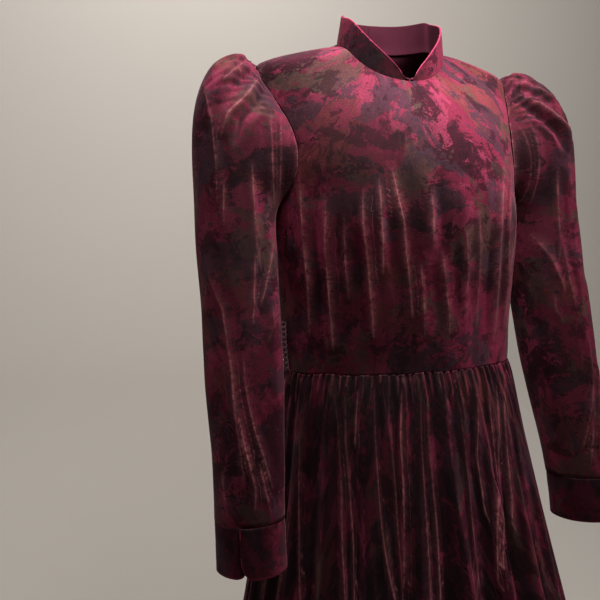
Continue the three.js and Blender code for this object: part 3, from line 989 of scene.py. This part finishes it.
    def finish(self, across: np.ndarray, along: np.ndarray, tube: float = 0.0) -> bpy.types.Object:
        """Writes the shaped points, the cloth's own coordinates and the crests, and smooths the faces.

        Args:
            across: each point's place across the cloth, in metres.
            along: its place along it.
            tube: the way round where the sheet closes on itself, or 0.

        Returns:
            The piece.
        """
        self.settle()
        mesh = self.object.data
        crest = mesh.attributes.new("crest", "FLOAT", "POINT")
        crest.data.foreach_set("value", self.crests().astype(np.float32))
        marks = (("aside", self.aside / MM), ("worn", np.clip(self.worn, 0, 1)), ("trim", self.trim))
        for mark, values in marks:
            layer = mesh.attributes.new(mark, "FLOAT", "POINT")
            layer.data.foreach_set("value", values.astype(np.float32))
        corner = np.empty(len(mesh.loops), np.int64)
        mesh.loops.foreach_get("vertex_index", corner)
        start = np.empty(len(mesh.polygons), np.int64)
        mesh.polygons.foreach_get("loop_start", start)
        u = across[corner]
        if tube:
            first = u[start]
            sizes = np.diff(np.append(start, len(corner)))
            u = u - tube * np.round((u - np.repeat(first, sizes)) / tube)
        layer = mesh.uv_layers.new(name="cloth")
        layer.data.foreach_set("uv", np.stack([u, along[corner]], 1).astype(np.float32).ravel())
        mesh.polygons.foreach_set("use_smooth", np.ones(len(mesh.polygons), bool))
        mesh.update()
        return self.object


def dress_wall(piece: bpy.types.Object, nodes: tuple[str, ...], face: bpy.types.Material,
               back: bpy.types.Material) -> None:
    """Gives a shaped sheet its thickness, its two faces and its place in the frame.

    Args:
        piece: the sheet.
        nodes: the solids that it stands for.
        face: the right side of the cloth.
        back: the wrong side.
    """
    piece.data.materials.clear()
    piece.data.materials.append(face)
    piece.data.materials.append(back)
    wall = piece.modifiers.new("wall", "SOLIDIFY")
    wall.thickness = WALL
    wall.offset = -1
    wall.material_offset = 1
    wall.material_offset_rim = 0
    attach(piece, "root")
    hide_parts(*nodes)
    log.info("%s: %d faces for %s", piece.name, len(piece.data.polygons), ", ".join(nodes))


def degrees_round(points: np.ndarray, half: float, deep: float, middle: float = 0.0) -> np.ndarray:
    """Measures each point's turn round an upright oval, from the front towards the wearer's left."""
    return np.degrees(np.arctan2(points[:, 0] / half, -(points[:, 1] - middle) / deep))


@dataclass
class Bodice:
    """Front and two backs of the fitted bodice.

    Attributes:
        photo: the photograph's camera.
        frame: the frame's nodes by name.
        half, deep: half width and depth of the oval that the cloth's own coordinates go round.
        levels: how finely the skin is divided.
        relief: share of its height in the table that a crease is given.
        shine: how plainly the worn lines with their painted light show.
        crush, crush_top, crush_fade: height of the crush, where it begins below the shoulders and over
            what height it comes in, all in millimetres.
        hold: height above the waist seam in millimetres where the folds have run out.
        top, top_fade: the height where the folds are at their least, and over what length below it they
            come in, in metres.
        top_least: share of their height that they have there.
        around: radius in metres that turns the way round the body into the width of the print.
        creases: the folds that the photograph shows.
        folds: folds of the back.
    """

    photo: Photo
    frame: dict[str, bpy.types.Object]
    half: float = 0.150
    deep: float = 0.115
    levels: int = 3
    relief: float = 0.75
    shine: float = 0.85
    crush: float = 0.9
    crush_top: float = -150.0
    crush_fade: float = 60.0
    hold: float = 12.0
    top: float = 0.02
    top_fade: float = 0.09
    top_least: float = 0.15
    around: float = 0.145
    creases: tuple[Crease, ...] = (
        Crease(((363, 190), (364, 226), (367, 250), (370, 282), (373, 318), (374, 340)), 5.0, 9),
        Crease(((379, 176), (381, 205), (383, 240), (383, 275)), 3.2, 9),
        Crease(((392, 168), (399, 201), (404, 222), (406, 250), (410, 284), (413, 322)), 4.4, 13),
        Crease(((431, 186), (433, 217), (434, 250)), 2.8, 9),
        Crease(((442, 250), (445, 278), (449, 312), (450, 335)), 3.0, 10),
        Crease(((326, 200), (326, 249), (329, 280), (332, 325), (334, 352)), 4.4, 10),
        Crease(((344, 215), (345, 260), (349, 300)), 2.0, 8),
        Crease(((299, 175), (302, 207), (305, 249), (309, 284), (310, 338)), 3.6, 9),
        Crease(((467, 230), (468, 270), (466, 320)), 2.4, 10),
        Crease(((480, 210), (480, 262), (476, 330)), 2.6, 9),
        Crease(((504, 168), (501, 217), (498, 262), (493, 345)), 4.6, 8),
        Crease(((511, 173), (509, 217), (508, 270), (504, 330)), 3.8, 7),
        Crease(((421, 262), (424, 300), (425, 340)), 2.0, 9),
    )
    folds: tuple[Fold, ...] = (
        Fold(112, -215, 108, -372, 3.4, 12),
        Fold(128, -232, 124, -380, 3.0, 11),
        Fold(143, -205, 138, -378, 3.8, 13),
        Fold(158, -240, 155, -384, 2.6, 10),
        Fold(-110, -225, -107, -376, 3.2, 12),
        Fold(-126, -208, -121, -368, 3.6, 12),
        Fold(-146, -236, -143, -382, 2.8, 11),
        Fold(-160, -222, -156, -380, 3.0, 12),
    )

    def _shape(self, cloth: Cloth, folds: tuple[Fold, ...], creases: tuple[Crease, ...],
               seed: float) -> None:
        """Raises the folds and the crush of one panel.

        Args:
            cloth: the panel.
            folds: its soft folds.
            creases: its folds from the photograph.
            seed: picks its crush.
        """
        height = np.zeros(len(cloth.rest))
        for crease in creases:
            trace = cloth.seen(self.photo, crease.path)
            rise = crease.rise * MM * self.relief
            height += cloth.crisp(trace, rise, crease.wide * MM, shine=self.shine)
        for fold in folds:
            height += cloth.crisp(cloth.near(fold), fold.rise * MM, fold.wide * MM)
        low = np.clip((self.crush_top * MM - cloth.rest[:, 2]) / (self.crush_fade * MM), 0, 1)
        height += cloth.noise(60, seed, (1, 1, 6)) * self.crush * MM * low
        height += cloth.noise(28, seed + 5, (1, 1, 2)) * self.crush * MM
        foot = cloth.rest[:, 2] - cloth.rest[:, 2].min()
        cloth.points[:, 2] += cloth.sway(foot) - SEAM_TUCK * np.exp(-((foot / SEAM_BAND) ** 2))
        waist = np.clip(foot / (self.hold * MM), 0, 1)
        cloth.lift(height * waist * self._edge(cloth))

    def _edge(self, cloth: Cloth) -> np.ndarray:
        """Holds the neckline and the shoulders nearly still, where other pieces are sewn on."""
        return np.clip((self.top - cloth.rest[:, 2]) / self.top_fade, self.top_least, 1)

    def build(self, back: bpy.types.Material) -> None:
        """Makes the three panels.

        Args:
            back: the wrong side of the velvet.
        """
        cuts = (
            ("bodice_front", "front_panel", (), self.creases, (0.52, 0.46), 0.17, (0.13, 0.42, 0.0)),
            ("bodice_back_left", "back_panel_left", self.folds, (), (0.27, 0.44), 0.095, (2.2, 1.1, 0.0)),
            ("bodice_back_right", "back_panel_right", self.folds, (), (0.27, 0.44), 0.095, (4.7, 0.3, 0.0)),
        )
        for seed, (node, name, folds, creases, flat, area, shift) in enumerate(cuts):
            cloth = Cloth(name, self.frame[node], self.levels)
            self._shape(cloth, folds, creases, 11.0 + 7 * seed)
            turn = degrees_round(cloth.rest, self.half, self.deep)
            piece = cloth.finish(np.radians(turn) * self.around, cloth.rest[:, 2])
            dress_wall(piece, (node,), VelvetPrint("velvet_" + name, shift).make(), back)


@dataclass
class Collar:
    """Two halves of the stand collar, which meet in a notch at the front.

    Attributes:
        frame: the frame's nodes by name.
        half: radius of the neck.
        levels: how finely the skin is divided.
        corner: how far from the middle the notch begins, in metres.
        dip: share of the collar's height that the notch takes.
        tuck, tuck_band: how far the foot reaches down over the neckline, and how much of the collar goes
            with it, in metres.
        crush: height of the crushed cloth in millimetres.
        painted_shade: share of its brightness that the print keeps here, a painted shade over the collar.
    """

    frame: dict[str, bpy.types.Object]
    half: float = 0.066
    levels: int = 3
    corner: float = 0.055
    dip: float = 0.9
    tuck: float = 0.0028
    tuck_band: float = 0.004
    crush: float = 0.5
    painted_shade: float = 0.85

    def build(self, back: bpy.types.Material) -> None:
        """Makes both halves.

        Args:
            back: the wrong side of the velvet.
        """
        for side in Side:
            name = "collar_stand_" + side.word
            cloth = Cloth(name, self.frame["collar_" + side.word], self.levels)
            self._lower_point(cloth)
            cloth.points[:, 2] -= self.tuck * np.exp(-((cloth.foot() / self.tuck_band) ** 2))
            cloth.lift(cloth.noise(55, 3.0 + side.value) * self.crush * MM)
            cloth.trim = np.exp(-((cloth.hem(1) / TRIM_WIDE) ** 4))
            turn = np.radians(degrees_round(cloth.rest, self.half, self.half))
            piece = cloth.finish(turn * self.half, cloth.rest[:, 2])
            # Painted shade: the collar's print keeps only part of its brightness.
            face = VelvetPrint("velvet_" + name, (1.3 + side.value, 3.4, 0.0), painted_shade=self.painted_shade).make()
            dress_wall(piece, ("collar_" + side.word,), face, back)

    def _lower_point(self, cloth: Cloth) -> None:
        """Draws the front corner down towards the neckline, for a deep notch.

        Args:
            cloth: one half of the collar.
        """
        near = np.clip(1 - np.abs(cloth.rest[:, 0]) / self.corner, 0, 1) * (cloth.rest[:, 1] < 0)
        foot = cloth.rest[:, 2].min() * np.sqrt(1 - np.clip(cloth.rest[:, 0] / self.half, -1, 1) ** 2)
        above = np.clip(cloth.rest[:, 2] - foot, 0, None)
        cloth.points[:, 2] -= self.dip * near**1.6 * above


@dataclass
class Sleeves:
    """Sleeves with gathered heads, and the split cuffs they are gathered into.

    Attributes:
        photo: the photograph's camera.
        frame: the frame's nodes by name.
        radius: half the way across a sleeve, for the cloth's own coordinates.
        levels: how finely the skin is divided.
        relief: share of its height in the table that a crease is given.
        armhole: no edge of the armhole lies below this height, in millimetres.
        gathers, gather, fan: waves of the head's gathers in a radian, their height in millimetres and
            how far they reach down the sleeve in metres.
        head: how far to each side of its top the head has gathers, in radians.
        crush, swell: heights of the fine and of the broad unevenness of a sleeve, in millimetres.
        cuff_crush, cuff_trim: the same on a cuff, and how bright its turned edge is, from 0 to 1.
        shine, far_shine: how plainly the worn lines with their painted light show on the right and on the
            left sleeve.
        hold: over what length the folds run out at the cuff and at the armhole, in metres.
        seam, underarm: how far from the middle the armhole is sewn, and the height below which the
            sleeve hangs free, in metres.
        creases: the folds of the right sleeve that the photograph shows; the left one has them mirrored.
    """

    photo: Photo
    frame: dict[str, bpy.types.Object]
    radius: float = 0.046
    armhole: float = -240.0
    gathers: float = 31.0
    gather: float = 2.7
    fan: float = 0.045
    head: float = 1.5
    crush: float = 1.2
    swell: float = 1.4
    cuff_crush: float = 0.5
    cuff_trim: float = 0.35
    shine: float = 0.6
    far_shine: float = 0.4
    hold: float = 0.02
    seam: float = 0.160
    underarm: float = -0.26
    levels: int = 3
    relief: float = 0.7
    creases: tuple[Crease, ...] = (
        Crease(((203, 80), (209, 104), (214, 130), (217, 160), (218, 206)), 3.4, 8),
        Crease(((259, 78), (245, 97), (229, 114), (221, 138)), 7.0, 13),
        Crease(((270, 84), (256, 103), (242, 119), (234, 146)), -7.0, 10),
        Crease(((258, 55), (241, 64), (221, 76)), -4.5, 7),
        Crease(((286, 128), (287, 165), (283, 210)), -5.0, 8),
        Crease(((250, 58), (238, 66), (222, 82)), 5.0, 11),
        Crease(((270, 106), (272, 152), (274, 205)), 3.0, 8),
        Crease(((281, 108), (281, 160), (279, 230)), 2.6, 7),
        Crease(((252, 160), (253, 195), (255, 220), (257, 249), (262, 272)), 3.4, 8),
        Crease(((224, 180), (224, 228)), 2.2, 8),
        Crease(((275, 236), (270, 260), (265, 288), (261, 306)), 4.0, 8),
        Crease(((255, 252), (254, 292), (253, 326)), 3.2, 7),
        Crease(((205, 262), (214, 288), (223, 308), (227, 332), (231, 358), (235, 401), (240, 440),
                (244, 484)), 4.0, 9),
        Crease(((243, 352), (245, 381), (249, 407), (255, 431), (266, 466), (274, 490)), 3.6, 8),
        Crease(((232, 392), (240, 420), (246, 449), (252, 473), (256, 490), (255, 512)), 4.2, 8),
        Crease(((259, 462), (265, 488), (271, 516)), 3.4, 7),
        Crease(((273, 306), (274, 326), (268, 342)), 2.0, 7),
        Crease(((222, 470), (226, 500), (229, 520)), 2.4, 8),
    )

    def _middle(self, cloth: Cloth) -> np.ndarray:
        """Finds the middle of the sleeve at the height of every point.

        Args:
            cloth: the sleeve.

        Returns:
            Where it is across and from front to back, in metres.
        """
        bands = np.round(cloth.rest[:, 2] / 0.02)
        middle = np.empty((len(bands), 2))
        for band in np.unique(bands):
            inside = bands == band
            low, high = cloth.rest[inside, :2].min(0), cloth.rest[inside, :2].max(0)
            middle[inside] = (low + high) / 2
        return middle

    def build(self, back: bpy.types.Material) -> None:
        """Makes the sleeves and the cuffs.

        Args:
            back: the wrong side of the velvet.
        """
        for side in Side:
            self._sleeve(side, back)
            self._cuff(side, back)

    def _sleeve(self, side: Side, back: bpy.types.Material) -> None:
        """Shapes one sleeve.

        Args:
            side: which one.
            back: the wrong side of the velvet.
        """
        name = "sleeve_shell_" + side.word
        node = "sleeve_" + side.word
        cloth = Cloth(name, self.frame[node], self.levels)
        height = np.zeros(len(cloth.rest))
        shine = self.shine if side is Side.RIGHT else self.far_shine
        for crease in self.creases:
            trace = cloth.seen(self.photo, crease.path, side is Side.LEFT)
            height += cloth.crisp(trace, crease.rise * MM * self.relief, crease.wide * MM, shine=shine)
        height += self._gathers(cloth)
        height += cloth.noise(45, 21.0 + side.value, (1, 1, 4)) * self.crush * MM
        height += cloth.noise(22, 26.0, (1, 1, 1.6)) * self.swell * MM
        wrist = np.clip((cloth.rest[:, 2] - cloth.rest[:, 2].min()) / self.hold, 0, 1)
        seam = np.clip((np.abs(cloth.rest[:, 0]) - self.seam) / self.hold, 0, 1)
        cloth.lift(height * wrist * np.maximum(seam, cloth.rest[:, 2] < self.underarm))
        # The armhole seam gets a worn line too: worn pile with a painted highlight and shadow.
        cloth.draw(cloth.hem(0, self.armhole * MM), 1, 0.4 + 0.5 * cloth.noise(60, 3.0))
        middle = self._middle(cloth)
        turn = np.arctan2(side.value * (cloth.rest[:, 0] - middle[:, 0]), -(cloth.rest[:, 1] - middle[:, 1]))
        piece = cloth.finish(turn * self.radius, cloth.rest[:, 2], tube=math.tau * self.radius)
        shift = (5.0 + side.value, 1.3, 0.0)
        # Painted shade: the sleeve's print keeps 0.62 of its brightness.
        face = VelvetPrint("velvet_" + name, shift, painted_shade=0.62, bloom=0.24, upright=0.25)
        dress_wall(piece, (node,), face.make(), back)

    def _gathers(self, cloth: Cloth) -> np.ndarray:
        """Works out the fan of small gathers in the head of a sleeve, along the seam of the armhole.

        Args:
            cloth: the sleeve.

        Returns:
            The height at every point.
        """
        seam = cloth.rest[cloth.border()[0]]
        seam = seam[seam[:, 2] > self.armhole * MM]
        middle = (seam.min(0) + seam.max(0)) / 2
        away = cloth.rest - middle
        turn = np.arctan2(away[:, 1], away[:, 2])
        head = np.clip((self.head - np.abs(turn)) / 0.4, 0, 1)
        sway = 0.35 * np.sin(turn * 5 + 1)
        depth = 0.65 + 0.35 * np.sin(turn * 9 + 0.7)
        fade = np.exp(-((cloth.hem(0, self.armhole * MM) / self.fan) ** 1.5))
        return self.gather * MM * np.cos(turn * self.gathers + sway) * depth * head * fade

    def _cuff(self, side: Side, back: bpy.types.Material) -> None:
        """Shapes one cuff.

        Args:
            side: which one.
            back: the wrong side of the velvet.
        """
        name = "cuff_band_" + side.word
        node = "cuff_" + side.word
        cloth = Cloth(name, self.frame[node], self.levels)
        cloth.lift(cloth.noise(50, 31.0 + side.value) * self.cuff_crush * MM)
        cloth.trim = np.exp(-((cloth.hem(-1) / TRIM_WIDE) ** 4)) * self.cuff_trim
        low, high = (np.array(corner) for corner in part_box(node))
        middle = (low + high) / 2
        turn = np.arctan2(side.value * (cloth.rest[:, 0] - middle[0]), -(cloth.rest[:, 1] - middle[1]))
        piece = cloth.finish(turn * self.radius, cloth.rest[:, 2], tube=math.tau * self.radius)
        # Painted shade: the cuff's print keeps 0.47 of its brightness.
        face = VelvetPrint("velvet_" + name, (8.0 + side.value, 2.3, 0.0), painted_shade=0.47).make()
        dress_wall(piece, (node,), face, back)


@dataclass
class Skirt:
    """Front and back of the gathered skirt.

    Attributes:
        photo: the photograph's camera.
        frame: the frame's nodes by name.
        half, deep: half width and depth of the waist, in metres.
        levels: how finely the skin is divided.
        puckers: small gathers round the waist.
        pucker, pucker_long: their height and how far down they reach, in millimetres.
        stroke: how far the worn strokes with their painted highlights reach down on them, in metres.
        eased: rounds of smoothing that calm the even ribs of the solid.
        ease_top, ease_fade, ease_rim: how far below the seam the smoothing begins, over what length it
            comes in, and how far inside the edges it has its full share, in metres.
        tail: share of its height that a long fold still has at the hem.
        shine, far_shine: how plainly the worn lines with their painted light show on the creases and on the
            other folds.
        sweep: radius of the skirt where the print has its true width.
        ripple, ripple_top: height of the uneven folds between the large ones, and over what height they
            come in below the seam, in millimetres.
        creases: the long folds that the photograph shows.
        folds: those of the sides and the back.
    """

    photo: Photo
    frame: dict[str, bpy.types.Object]
    half: float = 0.150
    deep: float = 0.112
    levels: int = 3
    puckers: int = 92
    pucker: float = 2.1
    pucker_long: float = 26.0
    stroke: float = 0.022
    eased: int = 100
    ease_top: float = 0.010
    ease_fade: float = 0.04
    ease_rim: float = 0.02
    tail: float = 0.25
    shine: float = 0.7
    far_shine: float = 0.6
    sweep: float = 0.36
    ripple: float = 1.44
    ripple_top: float = 80.0
    creases: tuple[Crease, ...] = (
        Crease(((302, 400), (300, 433), (301, 498), (302, 563), (303, 600)), 6.0, 11),
        Crease(((333, 388), (340, 433), (342, 477), (343, 542), (346, 600)), 6.0, 9),
        Crease(((345, 388), (345, 433), (349, 477), (354, 531), (357, 600)), 4.4, 8),
        Crease(((358, 390), (358, 412), (356, 446)), 3.0, 6),
        Crease(((374, 388), (375, 433), (378, 477), (381, 516), (386, 553), (395, 600)), 5.0, 9),
        Crease(((382, 384), (386, 412), (391, 444), (395, 488), (398, 531), (404, 574), (405, 600)),
               5.2, 10),
        Crease(((402, 388), (402, 433), (404, 466), (405, 494), (407, 563)), 4.4, 8),
        Crease(((421, 388), (421, 433), (423, 477), (425, 542), (427, 600)), 5.4, 9),
        Crease(((426, 388), (428, 433), (431, 466), (434, 498), (437, 542), (439, 600)), 3.4, 8),
        Crease(((453, 384), (460, 407), (465, 444), (469, 488), (472, 542), (474, 600)), 5.6, 10),
        Crease(((478, 396), (478, 423), (476, 455), (480, 477), (484, 503)), 3.6, 7),
        Crease(((487, 380), (491, 423), (493, 466), (494, 509), (496, 563)), 4.6, 8),
        Crease(((496, 376), (497, 433), (498, 498), (500, 553)), 4.0, 7),
        Crease(((503, 372), (503, 412), (505, 455), (508, 488), (510, 520)), 4.2, 8),
    )
    folds: tuple[Fold, ...] = (
        Fold(-72, -402, -70, -1374, 5.0, 11),
        Fold(-84, -410, -80, -1374, 4.4, 10),
        Fold(66, -400, 64, -1374, 5.4, 10),
        Fold(76, -412, 73, -1374, 4.0, 9),
        Fold(86, -404, 82, -1374, 5.2, 11),
        Fold(97, -400, 95, -1374, 5.0, 10),
        Fold(106, -415, 103, -1374, 4.0, 9),
        Fold(117, -402, 116, -1374, 5.6, 11),
        Fold(126, -404, 128, -1374, 4.4, 9),
        Fold(139, -398, 137, -1374, 5.2, 10),
        Fold(148, -420, 150, -1374, 3.8, 8),
        Fold(158, -400, 157, -1374, 5.4, 11),
        Fold(171, -404, 172, -1374, 5.0, 10),
        Fold(183, -400, 185, -1374, 4.6, 9),
        Fold(193, -412, 192, -1374, 5.4, 11),
        Fold(205, -400, 208, -1374, 4.8, 9),
        Fold(214, -402, 213, -1374, 3.8, 8),
        Fold(226, -398, 228, -1374, 5.6, 11),
        Fold(238, -410, 238, -1374, 4.4, 9),
        Fold(249, -400, 252, -1374, 5.2, 10),
        Fold(261, -404, 263, -1374, 4.6, 10),
        Fold(272, -400, 275, -1374, 5.0, 11),
    )

    def build(self, back: bpy.types.Material) -> None:
        """Makes the front and the back.

        Args:
            back: the wrong side of the velvet.
        """
        for seed, (node, name, creases) in enumerate((
            ("skirt_front", "skirt_panel_front", self.creases),
            ("skirt_back", "skirt_panel_back", ()),
        )):
            cloth = Cloth(name, self.frame[node], self.levels)
            top = cloth.rest[:, 2].max()
            down = top - cloth.rest[:, 2]
            turn = degrees_round(cloth.rest, self.half, self.deep)
            height = np.zeros(len(cloth.rest))
            for crease in creases:
                trace = cloth.seen(self.photo, self._to_hem(cloth, crease.path))
                height += cloth.crisp(trace, crease.rise * MM, crease.wide * MM, self.tail, self.shine)
            for fold in self.folds:
                trace = cloth.near(fold)
                height += cloth.crisp(trace, fold.rise * MM, fold.wide * MM, self.tail, self.far_shine)
            height += self._puckers(turn, down)
            height += self._folds(turn, down, 41.0 + seed)
            self._strokes(cloth, turn, down)
            cloth.points[:, 2] += cloth.sway(down) + SEAM_TUCK * np.exp(-((down / SEAM_BAND) ** 2))
            inside = np.clip(cloth.hem(0) / self.ease_rim, 0, 1)
            cloth.ease(self.eased, np.clip((down - self.ease_top) / self.ease_fade, 0, 1) * inside)
            cloth.lift(height * np.clip(down / 0.004, 0.3, 1))
            piece = cloth.finish(np.radians(turn) * self.sweep, cloth.rest[:, 2])
            shift = (6.1 + 3 * seed, 0.6, 0.0)
            # Painted shade: the skirt's print keeps 0.62 of its brightness.
            # Partly print and partly painted shade: the skirt's darkest blotches spread further.
            face = VelvetPrint("velvet_" + name, shift, painted_shade=0.62, dusk=0.07, bloom=0.07)
            dress_wall(piece, (node,), face.make(), back)

    def _strokes(self, cloth: Cloth, turn: np.ndarray, down: np.ndarray) -> None:
        """Draws a short worn stroke with its painted highlight on every gather under the waist seam.

        Args:
            cloth: the panel.
            turn: each point's place round the skirt, in degrees.
            down: its distance below the seam, in metres.
        """
        strokes = np.abs(np.cos(np.radians(turn) * self.puckers * 0.5)) ** 6
        top_only = np.clip(1 - down / self.stroke, 0, 1) ** 0.7
        gap = (0.9 + 4 * (1 - strokes)) * MM
        cloth.draw(gap, 1, top_only * (0.6 + 0.5 * cloth.noise(90, 7.0)) * strokes)

    def _to_hem(self, cloth: Cloth, pixels: tuple[tuple[float, float], ...]) -> list[tuple[float, float]]:
        """Carries a path that leaves the photograph on down to the hem.

        Args:
            cloth: the panel.
            pixels: the path in the photograph.

        Returns:
            The longer path, in the photograph's pixels.
        """
        if pixels[-1][1] < self.photo.side:
            return list(pixels)
        last = cloth.tree.ray_cast(*self.photo.ray((pixels[-1][0], self.photo.side - 1)))[0]
        if last is None:
            return list(pixels)
        turn = math.degrees(math.atan2(last.x, -last.y))
        below = cloth.column([(turn, last.z - 0.02), (turn, cloth.rest[:, 2].min() + 0.004)])
        return [*pixels, *((x, y) for x, y in self.photo.project(below)[0])]

    def _puckers(self, turn: np.ndarray, down: np.ndarray) -> np.ndarray:
        """Works out the tight, uneven gathers under the waist seam.

        Args:
            turn: each point's place round the skirt, in degrees.
            down: its distance below the seam, in metres.

        Returns:
            The height at every point.
        """
        sway = 2.2 * np.sin(np.radians(turn * 3 + 20)) + 1.3 * np.sin(np.radians(turn * 7 + 60))
        wave = np.cos(np.radians(turn + sway) * self.puckers)
        depth = 0.6 + 0.4 * np.sin(np.radians(turn * 11 + 30)) * np.sin(np.radians(turn * 5))
        return self.pucker * MM * wave * depth * np.exp(-((down / (self.pucker_long * MM)) ** 2))

    def _folds(self, turn: np.ndarray, down: np.ndarray, seed: float) -> np.ndarray:
        """Works out uneven folds between the large ones, all the way down.

        Args:
            turn: each point's place round the skirt, in degrees.
            down: its distance below the seam, in metres.
            seed: picks one pattern.

        Returns:
            The height at every point.
        """
        rise = np.clip(down / (self.ripple_top * MM), 0, 1) * self.ripple * MM
        spots = np.stack([np.radians(turn) * 9, down * 1.6], 1)
        wave = np.array([noise.noise(Vector((u, v, seed))) for u, v in spots])
        return rise * (1 - 2 * np.abs(wave))


@dataclass
class Trims:
    """Belt loops and the nape closure, which keep their own solids and get their finish here.

    Attributes:
        frame: the frame's nodes by name.
        names: the nodes.
    """

    frame: dict[str, bpy.types.Object]
    names: tuple[str, ...] = ("belt_loop_left", "belt_loop_right", "nape_button", "nape_loop")

    def build(self) -> None:
        """Gives each solid its velvet."""
        finish = VelvetPlain("velvet_trim").make()
        for name in self.names:
            mesh = self.frame[name].data
            mesh.materials.clear()
            mesh.materials.append(finish)
            log.info("%s: dressed in %s", name, Slot.PLAIN.value)


@dataclass(frozen=True)
class Lamp:
    """One square soft light.

    Attributes:
        name: its name.
        place: where it hangs, in metres.
        aim: the point that it faces.
        size: the length of its side.
        power: watts.
        colour: its colour.
    """

    name: str
    place: tuple[float, float, float]
    aim: tuple[float, float, float]
    size: float
    power: float
    colour: Colour = (1.0, 0.97, 0.93)

    def hang(self) -> None:
        """Adds it to the scene."""
        light = bpy.data.lights.new(self.name, "AREA")
        light.size = self.size
        light.energy = self.power
        light.color = self.colour
        body = bpy.data.objects.new(self.name, light)
        body.location = self.place
        ray = Vector(self.aim) - Vector(self.place)
        body.rotation_euler = ray.to_track_quat("-Z", "Y").to_euler()
        bpy.context.scene.collection.objects.link(body)


@dataclass
class Studio:
    """A pale floor and wall in one sweep, and soft light.

    Attributes:
        hem: height of the floor.
        wall: colour of the sweep.
        back: how far behind the dress the wall stands.
        room: colour of the light from all round.
        dusk: its strength.
        lamps: the soft lights.
    """

    hem: float
    wall: Colour = (0.62, 0.58, 0.54)
    back: float = 1.5
    room: Colour = (0.80, 0.79, 0.77)
    dusk: float = 0.035
    lamps: tuple[Lamp, ...] = (
        Lamp("ceiling", (-0.04, -0.46, 0.38), (-0.03, -0.10, -0.08), 0.35, 13.5),
        Lamp("window", (-1.5, -0.7, 0.4), (0.0, 0.0, -0.3), 0.8, 2.6),
        Lamp("wall", (0.2, 0.3, 1.3), (0.5, 1.5, -0.7), 2.4, 28),
        Lamp("rear", (0.0, 1.35, 1.30), (0.0, 0.05, -0.6), 0.9, 14),
    )

    def build(self) -> None:
        """Makes the sweep and the lights."""
        self._sweep()
        for lamp in self.lamps:
            lamp.hang()
        world = bpy.data.worlds.new("room")
        world.use_nodes = True
        colour, strength = world.node_tree.nodes["Background"].inputs[:2]
        colour.default_value = (*self.room, 1)
        strength.default_value = self.dusk
        bpy.context.scene.world = world
        bpy.context.scene.view_settings.view_transform = "Standard"

    def _sweep(self) -> None:
        """Makes the floor and the wall behind."""
        sweep = bmesh.new()
        bmesh.ops.create_grid(sweep, x_segments=1, y_segments=2, size=4)
        for vertex in sweep.verts:
            vertex.co.z = self.hem + (5 if vertex.co.y > 3 else 0)
            if vertex.co.y > -0.1:
                vertex.co.y = self.back
        bmesh.ops.recalc_face_normals(sweep, faces=sweep.faces)
        if sum(f.normal.z for f in sweep.faces) < 0:
            bmesh.ops.reverse_faces(sweep, faces=sweep.faces)
        foot = {v for v in sweep.verts if abs(v.co.y - self.back) < 0.01 and v.co.z < self.hem + 1}
        fold = [e for e in sweep.edges if foot.issuperset(e.verts)]
        bmesh.ops.bevel(sweep, geom=fold, offset=0.8, affect="EDGES", segments=12, profile=0.5, material=-1)
        mesh = bpy.data.meshes.new("sweep")
        sweep.to_mesh(mesh)
        sweep.free()
        mesh.polygons.foreach_set("use_smooth", [True] * len(mesh.polygons))
        mesh.materials.append(Matt("studio_wall", self.wall).make())
        floor = bpy.data.objects.new("sweep", mesh)
        bpy.context.scene.collection.objects.link(floor)


def main() -> None:
    """Builds the dress over the frame, piece by piece."""
    logging.basicConfig(level=logging.INFO, format="%(message)s")
    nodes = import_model()["nodes"]
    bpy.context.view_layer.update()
    photo = Photo()
    photo.camera()
    back = Backing().make()
    Bodice(photo, nodes).build(back)
    Collar(nodes).build(back)
    Sleeves(photo, nodes).build(back)
    Skirt(photo, nodes).build(back)
    Trims(nodes).build()
    Studio(hem=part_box("skirt_front")[0].z - 0.005).build()


if __name__ == "__main__":
    main()
